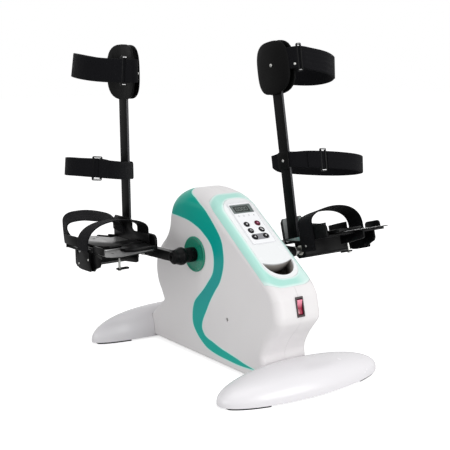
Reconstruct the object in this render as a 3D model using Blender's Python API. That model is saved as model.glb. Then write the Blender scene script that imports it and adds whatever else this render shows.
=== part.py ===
"""Motorized exercise bike with foot pedals and leg supports.

Metres, +Z up. The origin is on the floor, at the centre of the footprint of the two
cross feet. The console faces -Y, towards the user, and the crank axle lies along X.
"""
import math

import bmesh
import bpy
from mathutils import Matrix, Vector

# Driving dimensions of the whole machine
FIT = 0.0003
SEGMENTS = 24
AXLE_Y = 0.0375
AXLE_Z = 0.1764
AXLE_RADIUS = 0.0085
CRANK_LENGTH = 0.0935
CRANK_DROP = math.radians(2.0)

# Casing: side outline as (y, z, edge radius, is a corner), anticlockwise from the front
CASING_WIDTH = 0.0906
CASING_WALL = 0.003
CASING_OUTLINE = [
    (-0.1415, 0.0050, 0.0035, True), (-0.1435, 0.0340, 0.008, False),
    (-0.1440, 0.0500, 0.010, False), (-0.1560, 0.0720, 0.012, False),
    (-0.1710, 0.0900, 0.014, False), (-0.1795, 0.1020, 0.014, False),
    (-0.1800, 0.1115, 0.014, True), (-0.1735, 0.1400, 0.014, True),
    (-0.1640, 0.1535, 0.013, False), (-0.1485, 0.1665, 0.012, True),
    (-0.0180, 0.2663, 0.024, True), (0.0060, 0.2782, 0.028, False),
    (0.0400, 0.2840, 0.030, False), (0.0700, 0.2825, 0.028, False),
    (0.0960, 0.2720, 0.024, False), (0.1130, 0.2550, 0.020, False),
    (0.1210, 0.2330, 0.018, False), (0.1240, 0.2110, 0.016, False),
    (0.1340, 0.1930, 0.016, False), (0.1520, 0.1750, 0.016, False),
    (0.1650, 0.1540, 0.016, False), (0.1670, 0.1300, 0.014, False),
    (0.1600, 0.1060, 0.012, False), (0.1480, 0.0900, 0.010, False),
    (0.1375, 0.0780, 0.006, True), (0.1815, 0.0380, 0.004, True),
    (0.1795, 0.0220, 0.0035, True), (0.1675, 0.0050, 0.0035, True)]
OUTLINE_STEPS = 2
EDGE_STEPS = 4
SWITCH_FLAT = (6, 7)
CONSOLE_FLAT = (9, 10)

# Console, measured up the slope from its lower end
SURROUND_LOW = -0.0175
SURROUND_HIGH = 0.192
SURROUND_HALF = 0.048
SURROUND_CORNER = 0.030
SURROUND_DEPTH_LOW = 0.0075
SURROUND_DEPTH_HIGH = 0.0140
PANEL_LOW = -0.0010
PANEL_HIGH = 0.1745
PANEL_HALF = 0.0315
PANEL_CORNER = 0.026
LABEL_LOW = 0.0715
LABEL_HIGH = 0.1635
LABEL_HALF = 0.0235
LABEL_CORNER = 0.003
LABEL_THICKNESS = 0.0005
LCD_CENTRE = 0.149
LCD_WIDTH = 0.041
LCD_HEIGHT = 0.019
LCD_DEPTH = 0.0062
BUTTON_RADIUS = 0.0052
BUTTON_CLEARANCE = 0.0003
BUTTON_TRAVEL = 0.0008
BUTTON_BACK = 0.0045
BUTTON_TOP = 0.0019
BUTTON_COLUMN = 0.0108
BUTTON_ROWS = {"stop": 0.1145, "mode": 0.1005, "speed": 0.0868}
BUTTONS = [
    ("button_start", -1, "stop", (0.012, 0.012, 0.013)),
    ("button_stop", 1, "stop", (0.25, 0.012, 0.02)),
    ("button_time", -1, "mode", (0.012, 0.012, 0.013)),
    ("button_reverse", 1, "mode", (0.012, 0.012, 0.013)),
    ("button_slower", -1, "speed", (0.012, 0.012, 0.013)),
    ("button_faster", 1, "speed", (0.012, 0.012, 0.013))]
BOARD_THICKNESS = 0.0016
BOARD_HALF = 0.027
BOARD_LOW = 0.078
BOARD_HIGH = 0.162
CUP_RADIUS = 0.029
CUP_CENTRE = 0.0345
CUP_LIP_SAG = 0.006
CUP_WALL = 0.002
CUP_DEPTH = 0.024

# Rocker switch in the nose
SWITCH_WIDTH = 0.0148
SWITCH_HEIGHT = 0.0314
SWITCH_FLANGE = 0.0016
SWITCH_DEPTH = 0.016
SWITCH_INSET = 0.0010
ROCKER_WIDTH = 0.0100
ROCKER_LENGTH = 0.0224
ROCKER_THICKNESS = 0.0066
ROCKER_PIVOT_DEPTH = 0.0028
ROCKER_TILT = math.radians(7.0)
POCKET_WIDTH = 0.0108
POCKET_LENGTH = 0.0250
POCKET_DEPTH = 0.0095

# Cross feet: centre, half length along X, half depth along Y, height
FRONT_FOOT = {"y": -0.1805, "half": 0.155, "depth": 0.052, "height": 0.040}
REAR_FOOT = {"y": 0.1985, "half": 0.156, "depth": 0.034, "height": 0.052}
FOOT_RIM = 0.007
FOOT_DOME_POWER = 2.6
FOOT_WALL = 0.004
FOOT_ROOF = 0.006
FOOT_CAVITY_HALF = 0.085
FOOT_SEGMENTS = 40
FOOT_RINGS = 7
FOOT_BOSS_X = 0.046
FOOT_BOSS_RADIUS = 0.006
PAD_THICKNESS = 0.003
PAD_INSET = 0.0025
PAD_LENGTH = 0.063
PAD_TIP_CUT = 0.0055

# Steel base frame
SPINE_HALF = 0.020
SPINE_HEIGHT = 0.015
CROSSBAR_HALF = 0.060
CROSSBAR_DEPTH = 0.022
UPRIGHT_PLATE = 0.004
UPRIGHT_OUTER = 0.020
UPRIGHT_HEAD = 0.026
UPRIGHT_BASE = 0.058
BEARING_RADIUS = 0.0175
BEARING_WIDTH = 0.011
BEARING_SEAT = 0.005
CROSSBAR_FRONT_Y = -0.1805
CROSSBAR_REAR_Y = 0.2010

# Drive
GEARBOX_SIZE = (0.028, 0.052, 0.048)
GEARBOX_X = -0.023
MOTOR_Y = -0.080
MOTOR_RADIUS = 0.0158
MOTOR_HEIGHT = 0.068
MOTOR_SHAFT_RADIUS = 0.005
MOTOR_SHAFT_TIP = 0.008
MOTOR_SHAFT_HEIGHT = 0.030
BELT_RATIO = 3.6
MOTOR_PULLEY_RADIUS = 0.018
PULLEY_WIDTH = 0.012
BELT_WIDTH = 0.010
BELT_THICKNESS = 0.002

# Cranks and axle covers
COVER_RADIUS = 0.0299
COVER_THICKNESS = 0.0025
COVER_RIM = 0.003
BOSS_START = 0.0483
BOSS_STEP = 0.068
BOSS_END = 0.0925
BOSS_INNER_RADIUS = 0.0125
BOSS_OUTER_RADIUS = 0.0150
BOSS_TIP_RADIUS = 0.0085
BOSS_TAPER = 0.0757
BOSS_BORE_END = 0.0805
ARM_INNER = 0.0765
ARM_OUTER = 0.0895
ARM_ROOT_HALF = 0.0080
ARM_EYE_RADIUS = 0.0088

# Pedals, measured outwards from the middle plane (u), along Y (v) and up (z)
PEDAL_TILT = {"left": math.radians(0.8), "right": math.radians(15.5)}
LEG_TILT = {"left": math.radians(0.8), "right": math.radians(10.8)}
SPINDLE_THREAD_RADIUS = 0.0062
SPINDLE_RADIUS = 0.0056
SPINDLE_COLLAR_RADIUS = 0.0085
SPINDLE_COLLAR = 0.0022
SPINDLE_TIP = 0.2125
BUSH_RADIUS = 0.0082
PEDAL_INNER = 0.1085
PEDAL_OUTER = 0.212
PEDAL_WALL = 0.0038
PEDAL_HEEL = -0.068
PEDAL_HEEL_WING = -0.095
PEDAL_TOE = 0.090
TOE_START = 0.038
TOE_END = 0.082
TOE_INNER_END = 0.133
TOE_OUTER_END = 0.188
FLOOR_BOTTOM = 0.0138
FLOOR_THICKNESS = 0.0040
HUB_HALF = 0.0125
HUB_BOTTOM = -0.0135
HEEL_WALL = (-0.0715, -0.012, 0.0380)
OUTER_WALL = (-0.046, -0.003, 0.0225)
SIDE_WALL_BOTTOM = -0.016
TOE_WALL_TOP = 0.0225
WING_TAB = (-0.086, -0.052, 0.030)
FOOT_PLATE_THICKNESS = 0.002
FOOT_PLATE = (0.124, 0.198, -0.052, 0.076)
FOOT_PLATE_TOE = (0.146, 0.168)
FOOT_PLATE_FLANGE = (-0.005, 0.0425)
FOOT_PLATE_TAB_TOP = 0.057
FOOT_PLATE_HOLE = 0.003
FOOT_PLATE_HOLES = [(0.172, 0.058), (0.145, 0.058), (0.162, -0.036), (0.140, -0.036)]
STRAP_THICKNESS = 0.002
INSTEP_STRAP = {"from": -0.042, "to": -0.0065, "inner": 0.0415, "outer": 0.026,
                "low": -0.010, "taper": (0.0, 0.0)}
TOE_STRAP = {"from": 0.044, "to": 0.079, "inner": 0.024, "outer": 0.024,
             "low": FLOOR_BOTTOM, "taper": (0.0, 0.0)}
INSTEP_STRAP_TOP = 0.062
TOE_STRAP_TOP = {"left": 0.066, "right": 0.050}
PEDAL_STRAP_STEPS = 14

# Leg supports, in the pedal's own directions
BAR_THICKNESS = 0.0045
BAR_WIDTH = 0.0242
BAR_V = 0.0185
BAR_BOTTOM = 0.0200
BAR_CENTRE = 0.1091
BAR_PAST_PAD = 0.014
CALF_PADS = {"left": {"height": 0.3015, "shift": -0.0065},
             "right": {"height": 0.3103, "shift": 0.002}}
CALF_PAD_HALF_WIDTH = 0.044
CALF_PAD_HALF_HEIGHT = 0.0452
CALF_PAD_THICKNESS = 0.0035
CALF_PAD_BEND = 0.220
CALF_PAD_FULLNESS = 2.9
CALF_PAD_SEGMENTS = 32
CALF_PAD_RINGS = 4

# Strap loops seen from above: shares of (length outwards, half width), starting at the bar
CALF_LOOP = [(0.002, 0.27), (0.002, -0.27), (0.075, -0.99), (0.30, -1.06), (0.62, -0.98),
             (0.90, -0.62), (1.0, -0.10), (0.93, 0.45), (0.68, 0.88), (0.35, 1.00), (0.075, 0.93)]
SHIN_LOOP = [(0.0, 0.24), (0.0, -0.26), (0.14, -0.62), (0.42, -0.95), (0.72, -1.0),
             (0.94, -0.72), (1.0, -0.25), (0.86, 0.30), (0.55, 0.72), (0.22, 0.85), (0.02, 0.62)]
LOOP_STEPS = 4
LOOPS = {
    ("calf", "left"): {"length": 0.090, "half": 0.053, "band": 0.040, "height": 0.303,
                       "droop": math.radians(-7.0), "lift": math.radians(5.6), "buckle": 3.0},
    ("calf", "right"): {"length": 0.119, "half": 0.053, "band": 0.040, "height": 0.320,
                        "droop": math.radians(2.0), "lift": math.radians(-9.5), "buckle": 2.5},
    ("shin", "left"): {"length": 0.119, "half": 0.055, "band": 0.032, "height": 0.1375,
                       "droop": math.radians(3.2), "lift": math.radians(7.2), "buckle": 3.75},
    ("shin", "right"): {"length": 0.152, "half": 0.055, "band": 0.032, "height": 0.154,
                        "droop": math.radians(1.8), "lift": math.radians(-8.8), "buckle": 2.6}}
BUCKLE_WIRE = 0.0026
BUCKLE_THICKNESS = 0.0024
BUCKLE_WIDTH = 0.0160
BUCKLE_MARGIN = 0.0022
BUCKLE_TURN = math.radians(34.0)

# Power inlet on the right flank
INLET_PLACE = (0.122, 0.042)
INLET_FLANGE = (0.031, 0.0225, 0.0016)
INLET_BODY = (0.0265, 0.0185, 0.018)
INLET_SOCKET = (0.021, 0.0125, 0.014)

SHARP_ANGLE = math.radians(32.0)
SIDES = {"left": -1.0, "right": 1.0}
HALF_WIDTH = CASING_WIDTH / 2
CASING_FLOOR = CASING_OUTLINE[0][1] + CASING_WALL
SPINE_BOTTOM = CASING_FLOOR + FIT
SPINE_TOP = SPINE_BOTTOM + SPINE_HEIGHT
FLOOR_TOP = FLOOR_BOTTOM + FLOOR_THICKNESS
PLATE_BOTTOM = FLOOR_TOP + FIT
PLATE_TOP = PLATE_BOTTOM + FOOT_PLATE_THICKNESS
PEDAL_FACE = PEDAL_INNER - PEDAL_WALL
BAR_INNER = BAR_CENTRE - BAR_THICKNESS / 2
BAR_OUTER = BAR_CENTRE + BAR_THICKNESS / 2
TAB_INNER = BAR_OUTER + FIT
TAB_OUTER = TAB_INNER + FOOT_PLATE_THICKNESS
TOE_INNER_SLOPE = (TOE_INNER_END - PEDAL_INNER) / (TOE_END - TOE_START)
TOE_OUTER_SLOPE = (PEDAL_OUTER - TOE_OUTER_END) / (TOE_END - TOE_START)
CRANK_PULLEY_RADIUS = MOTOR_PULLEY_RADIUS * BELT_RATIO
MOTOR_SHAFT_Z = SPINE_TOP + FIT + MOTOR_SHAFT_HEIGHT


def clear_scene():
    for obj in list(bpy.data.objects):
        bpy.data.objects.remove(obj, do_unlink=True)


def material(name, colour, roughness, metallic=0.0):
    mat = bpy.data.materials.new(name)
    mat.use_nodes = True
    shader = mat.node_tree.nodes["Principled BSDF"]
    shader.inputs["Base Color"].default_value = (*colour, 1.0)
    shader.inputs["Roughness"].default_value = roughness
    shader.inputs["Metallic"].default_value = metallic
    mat.diffuse_color = (*colour, 1.0)
    return mat


def make_object(name, verts, faces, mat, parent=None):
    """A closed mesh with its faces turned outwards and merged corner points."""
    mesh = bpy.data.meshes.new(name)
    mesh.from_pydata([tuple(v) for v in verts], [], faces)
    bm = bmesh.new()
    bm.from_mesh(mesh)
    bmesh.ops.remove_doubles(bm, verts=bm.verts, dist=1e-7)
    bmesh.ops.recalc_face_normals(bm, faces=bm.faces)
    bm.to_mesh(mesh)
    bm.free()
    if mat:
        mesh.materials.append(mat)
    obj = bpy.data.objects.new(name, mesh)
    bpy.context.scene.collection.objects.link(obj)
    obj.parent = parent
    return obj


def joint_axis(name, place, rotation=(0.0, 0.0, 0.0), parent=None):
    empty = bpy.data.objects.new(name, None)
    empty.location = place
    empty.rotation_euler = rotation
    empty.empty_display_size = 0.02
    empty.parent = parent
    bpy.context.scene.collection.objects.link(empty)
    return empty


def boolean(target, tool, operation):
    """Cut, join or intersect the target with a tool, which is left out of the model."""
    modifier = target.modifiers.new(operation.lower(), "BOOLEAN")
    modifier.operation = operation
    modifier.solver = "EXACT"
    modifier.object = tool
    tool.hide_render = True
    tool.display_type = "WIRE"
    return target


def cut(target, tool):
    return boolean(target, tool, "DIFFERENCE")


def join(target, tool):
    return boolean(target, tool, "UNION")


SIDE_VIEW = (Vector((0, 0, 0)), Vector((0, 1, 0)), Vector((0, 0, 1)), Vector((1, 0, 0)))
PLAN_VIEW = (Vector((0, 0, 0)), Vector((1, 0, 0)), Vector((0, 1, 0)), Vector((0, 0, 1)))
FRONT_VIEW = (Vector((0, 0, 0)), Vector((1, 0, 0)), Vector((0, 0, 1)), Vector((0, 1, 0)))


def prism(name, outline, low, high, view=PLAN_VIEW, mat=None, parent=None):
    """An outline in a view's plane, extruded from low to high along the view's depth.

    low and high may be functions of the outline's point, for a slanted end.
    """
    origin, across, up, depth = view

    def place(point, level):
        value = level(point) if callable(level) else level
        return origin + across * point[0] + up * point[1] + depth * value

    count = len(outline)
    verts = [place(p, low) for p in outline] + [place(p, high) for p in outline]
    faces = [list(range(count))[::-1], list(range(count, 2 * count))]
    for i in range(count):
        j = (i + 1) % count
        faces.append([i, j, count + j, count + i])
    return make_object(name, verts, faces, mat, parent)


def box(name, x_range, y_range, z_range, mat=None, parent=None):
    (x0, x1), (y0, y1), (z0, z1) = x_range, y_range, z_range
    return prism(name, [(x0, y0), (x1, y0), (x1, y1), (x0, y1)], z0, z1, PLAN_VIEW, mat, parent)


def circle(radius, centre=(0.0, 0.0), segments=SEGMENTS):
    steps = [2 * math.pi * i / segments for i in range(segments)]
    return [(centre[0] + radius * math.cos(t), centre[1] + radius * math.sin(t)) for t in steps]


def rounded_rectangle(x0, x1, y0, y1, radius, steps=4):
    points = []
    corners = [(x1 - radius, y1 - radius, 0), (x0 + radius, y1 - radius, 90),
               (x0 + radius, y0 + radius, 180), (x1 - radius, y0 + radius, 270)]
    for cx, cy, start in corners:
        for i in range(steps + 1):
            t = math.radians(start + 90 * i / steps)
            points.append((cx + radius * math.cos(t), cy + radius * math.sin(t)))
    return points


def turned(name, profile, centre=(0.0, 0.0), mat=None, parent=None, bored=False,
           segments=SEGMENTS):
    """A body turned about a line along X. The profile holds (x, radius) points.

    With bored set, the profile is a closed ring round the bore.
    """
    verts = []
    for x, radius in profile:
        for y, z in circle(radius, centre, segments):
            verts.append((x, y, z))
    faces = []
    rows = len(profile)
    for row in range(rows if bored else rows - 1):
        following = (row + 1) % rows
        for i in range(segments):
            j = (i + 1) % segments
            faces.append([row * segments + i, row * segments + j,
                          following * segments + j, following * segments + i])
    if not bored:
        faces.append(list(range(segments)))
        faces.append([(rows - 1) * segments + i for i in range(segments)])
    return make_object(name, verts, faces, mat, parent)


def smooth_outline(points, steps):
    """Catmull-Rom points between the given ones, straight between two corners."""
    result = []
    count = len(points)
    for i in range(count):
        before, here, after, later = (points[(i + k) % count] for k in (-1, 0, 1, 2))
        result.append(here[:3])
        if here[3] and after[3]:
            continue
        before = here if here[3] else before
        later = after if after[3] else later
        for k in range(1, steps):
            t = k / steps
            blend = []
            for a, b, c, d in zip(before[:3], here[:3], after[:3], later[:3]):
                curve = 2 * b + (c - a) * t + (2 * a - 5 * b + 4 * c - d) * t ** 2
                blend.append((curve + (3 * b - a - 3 * c + d) * t ** 3) / 2)
            result.append(tuple(blend))
    return result


def inward(points, distances):
    """Moves each point of a closed outline inwards by its own distance."""
    moved = []
    count = len(points)
    area = sum(points[i][0] * points[(i + 1) % count][1] - points[(i + 1) % count][0] * points[i][1]
               for i in range(count))
    turn = 1.0 if area > 0 else -1.0
    for i, (y, z) in enumerate(points):
        before = Vector(points[i - 1])
        after = Vector(points[(i + 1) % count])
        here = Vector((y, z))
        first = (here - before).normalized()
        second = (after - here).normalized()
        left_first = Vector((-first.y, first.x)) * turn
        left_second = Vector((-second.y, second.x)) * turn
        middle = (left_first + left_second).normalized()
        mitre = max(0.5, middle.dot(left_first))
        step = here + middle * distances[i] / mitre
        moved.append((step.x, step.y))
    return moved


def casing_solid(name, shrink):
    """The casing's outer body, or its hollow, shrunk by the wall on every side."""
    outline = smooth_outline(CASING_OUTLINE, OUTLINE_STEPS)
    points = [(y, z) for y, z, radius in outline]
    points = inward(points, [shrink] * len(points))
    radii = [max(0.001, radius - shrink) for y, z, radius in outline]
    half = HALF_WIDTH - shrink
    rings = []
    for i in range(2 * EDGE_STEPS + 2):
        side = -1.0 if i <= EDGE_STEPS else 1.0
        step = i if side < 0 else 2 * EDGE_STEPS + 1 - i
        angle = math.pi / 2 * step / EDGE_STEPS
        drawn_in = [r * (1 - math.sin(angle)) for r in radii]
        ring = inward(points, drawn_in)
        rings.append([(side * (half - r * (1 - math.cos(angle))), y, z)
                      for (y, z), r in zip(ring, radii)])
    count = len(points)
    verts = [v for ring in rings for v in ring]
    faces = [list(range(count)), [(len(rings) - 1) * count + i for i in range(count)]]
    for row in range(len(rings) - 1):
        for i in range(count):
            j = (i + 1) % count
            faces.append([row * count + i, row * count + j,
                          (row + 1) * count + j, (row + 1) * count + i])
    return make_object(name, verts, faces, None)


def half_space(name, side):
    reach = CASING_WIDTH
    return box(name, sorted((side * FIT / 2, side * reach)), (-0.4, 0.4), (-0.05, 0.45))


def console_view():
    start = Vector((0.0, *CASING_OUTLINE[CONSOLE_FLAT[0]][:2]))
    finish = Vector((0.0, *CASING_OUTLINE[CONSOLE_FLAT[1]][:2]))
    up = (finish - start).normalized()
    across = Vector((1, 0, 0))
    return start, across, up, across.cross(up)


def switch_view():
    start = Vector((0.0, *CASING_OUTLINE[SWITCH_FLAT[0]][:2]))
    finish = Vector((0.0, *CASING_OUTLINE[SWITCH_FLAT[1]][:2]))
    up = (finish - start).normalized()
    across = Vector((1, 0, 0))
    return (start + finish) / 2, across, up, across.cross(up)


def surround_outline(extra):
    return rounded_rectangle(-SURROUND_HALF - extra, SURROUND_HALF + extra,
                             SURROUND_LOW - extra, SURROUND_HIGH + extra, SURROUND_CORNER, 6)


def panel_outline(extra):
    return rounded_rectangle(-PANEL_HALF - extra, PANEL_HALF + extra, PANEL_LOW - extra,
                             PANEL_HIGH + extra, PANEL_CORNER, 6)


def cup_outline(extra):
    """Half moon: a round lower edge and an upper edge that sags in the middle."""
    radius = CUP_RADIUS + extra
    points = []
    for i in range(13):
        t = math.pi + math.pi * i / 12
        points.append((radius * math.cos(t), CUP_CENTRE + radius * math.sin(t)))
    for i in range(1, 8):
        share = 1 - 2 * i / 8
        points.append((radius * share, CUP_CENTRE + extra - CUP_LIP_SAG * (1 - share ** 2)))
    return points


def surround_depth(point):
    share = max(0.0, min(1.0, point[1] / SURROUND_HIGH))
    return -(SURROUND_DEPTH_LOW + (SURROUND_DEPTH_HIGH - SURROUND_DEPTH_LOW) * share)


def spine_clearance(name):
    """Room for the base frame's spine, in the casing and in the feet."""
    return box(name, (-SPINE_HALF - FIT, SPINE_HALF + FIT),
               (CROSSBAR_FRONT_Y, CROSSBAR_REAR_Y), (CASING_FLOOR, SPINE_TOP + FIT))


def make_casing(paint, mint, white):
    """Two half shells, the console surround and the panel, cut from one hollow body."""
    view = console_view()
    above = 0.04
    opening = prism("surround_opening", surround_outline(FIT),
                    lambda p: surround_depth(p) - FIT, above, view)
    clearance = spine_clearance("spine_clearance")
    switch_hole = prism("switch_hole", switch_outline(SWITCH_INSET - FIT), -0.03, 0.01,
                        switch_view())
    axle_hole = turned("axle_hole", [(-0.08, AXLE_RADIUS + 2 * FIT), (0.08, AXLE_RADIUS + 2 * FIT)],
                       (AXLE_Y, AXLE_Z))
    inlet_hole = prism("inlet_hole", inlet_outline(INLET_BODY, FIT), 0.02, 0.06, SIDE_VIEW)
    for name, side in SIDES.items():
        shell = casing_solid(name + "_shell", 0.0)
        shell.data.materials.append(paint)
        cut(shell, casing_solid(name + "_hollow", CASING_WALL))
        boolean(shell, half_space(name + "_half", side), "INTERSECT")
        for tool in (opening, clearance, switch_hole, axle_hole):
            cut(shell, tool)
        if side > 0:
            cut(shell, inlet_hole)
    ring = casing_solid("console_surround", 0.0)
    ring.data.materials.append(mint)
    cut(ring, casing_solid("surround_hollow", CASING_WALL))
    boolean(ring, prism("surround_block", surround_outline(0.0), surround_depth, above, view),
            "INTERSECT")
    cut(ring, prism("panel_opening", panel_outline(FIT), -0.03, above, view))
    panel = casing_solid("console_panel", 0.0)
    panel.data.materials.append(white)
    cut(panel, casing_solid("panel_hollow", CASING_WALL))
    boolean(panel, prism("panel_block", panel_outline(0.0), -0.03, above, view), "INTERSECT")
    cut(panel, prism("cup_opening", cup_outline(0.0), -0.03, above, view))
    for tool in console_holes(view):
        cut(panel, tool)


def console_holes(view):
    """The display window and the button holes, shared by the panel and the label."""
    tools = [prism("lcd_window", lcd_outline(FIT), -0.03, 0.01, view)]
    for name, column, row, colour in BUTTONS:
        centre = (column * BUTTON_COLUMN, BUTTON_ROWS[row])
        hole = circle(BUTTON_RADIUS + BUTTON_CLEARANCE, centre, 20)
        tools.append(prism(name + "_hole", hole, -0.03, 0.01, view))
    return tools


def lcd_outline(extra):
    half_width = LCD_WIDTH / 2 + extra
    half_height = LCD_HEIGHT / 2 + extra
    return [(-half_width, LCD_CENTRE - half_height), (half_width, LCD_CENTRE - half_height),
            (half_width, LCD_CENTRE + half_height), (-half_width, LCD_CENTRE + half_height)]


def make_console(white, glass, board_green, dark):
    """Label sheet, display, buttons, control board and the hand hole cup."""
    view = console_view()
    label = prism("label_sheet", rounded_rectangle(-LABEL_HALF, LABEL_HALF, LABEL_LOW, LABEL_HIGH,
                                                   LABEL_CORNER), FIT, FIT + LABEL_THICKNESS,
                  view, white)
    for tool in console_holes(view):
        cut(label, tool)
    prism("lcd_display", lcd_outline(0.0), -LCD_DEPTH, 0.0, view, glass)
    for name, column, row, colour in BUTTONS:
        centre = view[0] + view[1] * column * BUTTON_COLUMN + view[2] * BUTTON_ROWS[row]
        slope = math.atan2(view[2].z, view[2].y)
        axis = joint_axis(name + "_axis", centre, (slope, 0.0, 0.0))
        prism(name, circle(BUTTON_RADIUS, segments=20), -BUTTON_BACK, BUTTON_TOP, PLAN_VIEW,
              material(name + "_rubber", colour, 0.45), axis)
    board_top = -LCD_DEPTH - FIT
    prism("control_board", rounded_rectangle(-BOARD_HALF, BOARD_HALF, BOARD_LOW, BOARD_HIGH, 0.002),
          board_top - BOARD_THICKNESS, board_top, view, board_green)
    rim = -CASING_WALL - FIT
    cup = prism("handle_cup", cup_outline(CUP_WALL), rim - CUP_DEPTH, rim, view, dark)
    cut(cup, prism("cup_hollow", cup_outline(0.0), rim - CUP_DEPTH + CUP_WALL, 0.01, view))


def switch_outline(shrink):
    half_width = SWITCH_WIDTH / 2 - shrink
    half_height = SWITCH_HEIGHT / 2 - shrink
    return [(-half_width, -half_height), (half_width, -half_height),
            (half_width, half_height), (-half_width, half_height)]


def make_switch(black, red):
    view = switch_view()
    body = prism("switch_body", switch_outline(0.0), FIT, FIT + SWITCH_FLANGE, view, black)
    join(body, prism("switch_barrel", switch_outline(SWITCH_INSET), -SWITCH_DEPTH,
                     SWITCH_FLANGE / 2, view))
    pocket = [(-POCKET_WIDTH / 2, -POCKET_LENGTH / 2), (POCKET_WIDTH / 2, -POCKET_LENGTH / 2),
              (POCKET_WIDTH / 2, POCKET_LENGTH / 2), (-POCKET_WIDTH / 2, POCKET_LENGTH / 2)]
    cut(body, prism("switch_pocket", pocket, -POCKET_DEPTH, 0.01, view))
    pivot = view[0] - view[3] * ROCKER_PIVOT_DEPTH
    lean = math.atan2(-view[2].y, view[2].z)
    axis = joint_axis("switch_axis", pivot, (lean + ROCKER_TILT, 0.0, 0.0))
    top = ROCKER_THICKNESS * 0.6
    dip = ROCKER_THICKNESS * 0.3
    low = -ROCKER_THICKNESS * 0.4
    half = ROCKER_LENGTH / 2
    outline = [(-top, half), (-dip, 0.0), (-top, -half), (-low, -half * 0.9), (-low, half * 0.9)]
    prism("switch_rocker", outline, -ROCKER_WIDTH / 2, ROCKER_WIDTH / 2, SIDE_VIEW, red, axis)


def inlet_outline(size, extra):
    y, z = INLET_PLACE
    return [(y - size[0] / 2 - extra, z - size[1] / 2 - extra),
            (y + size[0] / 2 + extra, z - size[1] / 2 - extra),
            (y + size[0] / 2 + extra, z + size[1] / 2 + extra),
            (y - size[0] / 2 - extra, z + size[1] / 2 + extra)]


def make_inlet(black):
    face = HALF_WIDTH + FIT + INLET_FLANGE[2]
    inlet = prism("power_inlet", inlet_outline(INLET_FLANGE, 0.0), HALF_WIDTH + FIT, face,
                  SIDE_VIEW, black)
    join(inlet, prism("inlet_body", inlet_outline(INLET_BODY, 0.0), face - INLET_BODY[2],
                      face - INLET_FLANGE[2] / 2, SIDE_VIEW))
    cut(inlet, prism("inlet_socket", inlet_outline(INLET_SOCKET, 0.0), face - INLET_SOCKET[2],
                     face + 0.01, SIDE_VIEW))


def dome(name, centre_y, half, depth, bottom, rim, top, mat=None):
    """A flat bottomed dome over an ellipse, with a low upright rim."""
    shares = [1.0, 1.0]
    levels = [bottom, rim]
    for i in range(1, FOOT_RINGS):
        share = math.cos(math.pi / 2 * i / FOOT_RINGS)
        shares.append(share)
        levels.append(rim + (top - rim) * (1 - share ** FOOT_DOME_POWER) ** 0.5)
    verts = []
    for share, level in zip(shares, levels):
        for x, y in circle(1.0, segments=FOOT_SEGMENTS):
            verts.append((x * half * share, centre_y + y * depth * share, level))
    verts.append((0.0, centre_y, top))
    faces = [list(range(FOOT_SEGMENTS))]
    rows = len(shares)
    for row in range(rows - 1):
        for i in range(FOOT_SEGMENTS):
            j = (i + 1) % FOOT_SEGMENTS
            faces.append([row * FOOT_SEGMENTS + i, row * FOOT_SEGMENTS + j,
                          (row + 1) * FOOT_SEGMENTS + j, (row + 1) * FOOT_SEGMENTS + i])
    last = (rows - 1) * FOOT_SEGMENTS
    for i in range(FOOT_SEGMENTS):
        faces.append([last + i, last + (i + 1) % FOOT_SEGMENTS, len(verts) - 1])
    return make_object(name, verts, faces, mat)


def make_foot(name, sizes, crossbar_y, plastic, rubber):
    """A hollow cross foot that hugs the casing and sits on two bosses on its cross bar."""
    foot = dome(name, sizes["y"], sizes["half"], sizes["depth"], PAD_THICKNESS, FOOT_RIM,
                sizes["height"], plastic)
    hollow = dome(name + "_hollow", sizes["y"], FOOT_CAVITY_HALF, sizes["depth"] - FOOT_WALL,
                  0.0, PAD_THICKNESS + FIT, sizes["height"] - FOOT_ROOF)
    for x in (-FOOT_BOSS_X, FOOT_BOSS_X):
        cut(hollow, prism(name + "_boss", circle(FOOT_BOSS_RADIUS, (x, crossbar_y), 16),
                          SPINE_TOP + FIT, 0.1))
    cut(foot, hollow)
    cut(foot, spine_clearance(name + "_slot"))
    outline = [(y, z) for y, z, radius in smooth_outline(CASING_OUTLINE, OUTLINE_STEPS)]
    grown = inward(outline, [-2 * FIT] * len(outline))
    cut(foot, prism(name + "_notch", grown, -HALF_WIDTH - 2 * FIT, HALF_WIDTH + 2 * FIT, SIDE_VIEW))
    for side_name, side in SIDES.items():
        half = sizes["half"] - PAD_INSET
        depth = sizes["depth"] - PAD_INSET
        start = math.acos(1.0 - PAD_LENGTH / half)
        finish = math.acos(1.0 - PAD_TIP_CUT / half)
        angles = [finish + (start - finish) * i / 8 for i in range(9)]
        outline = [(side * half * math.cos(t), sizes["y"] + depth * math.sin(t)) for t in angles]
        outline += [(x, 2 * sizes["y"] - y) for x, y in reversed(outline)]
        prism(name + "_pad_" + side_name, outline, 0.0, PAD_THICKNESS - FIT, PLAN_VIEW, rubber)


def upright_outline():
    head = []
    for i in range(13):
        t = math.pi * i / 12
        head.append((AXLE_Y + UPRIGHT_HEAD * math.cos(t), AXLE_Z + UPRIGHT_HEAD * math.sin(t)))
    base = SPINE_TOP - SPINE_HEIGHT / 2
    return head + [(AXLE_Y - UPRIGHT_BASE, base), (AXLE_Y + UPRIGHT_BASE, base)]


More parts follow.
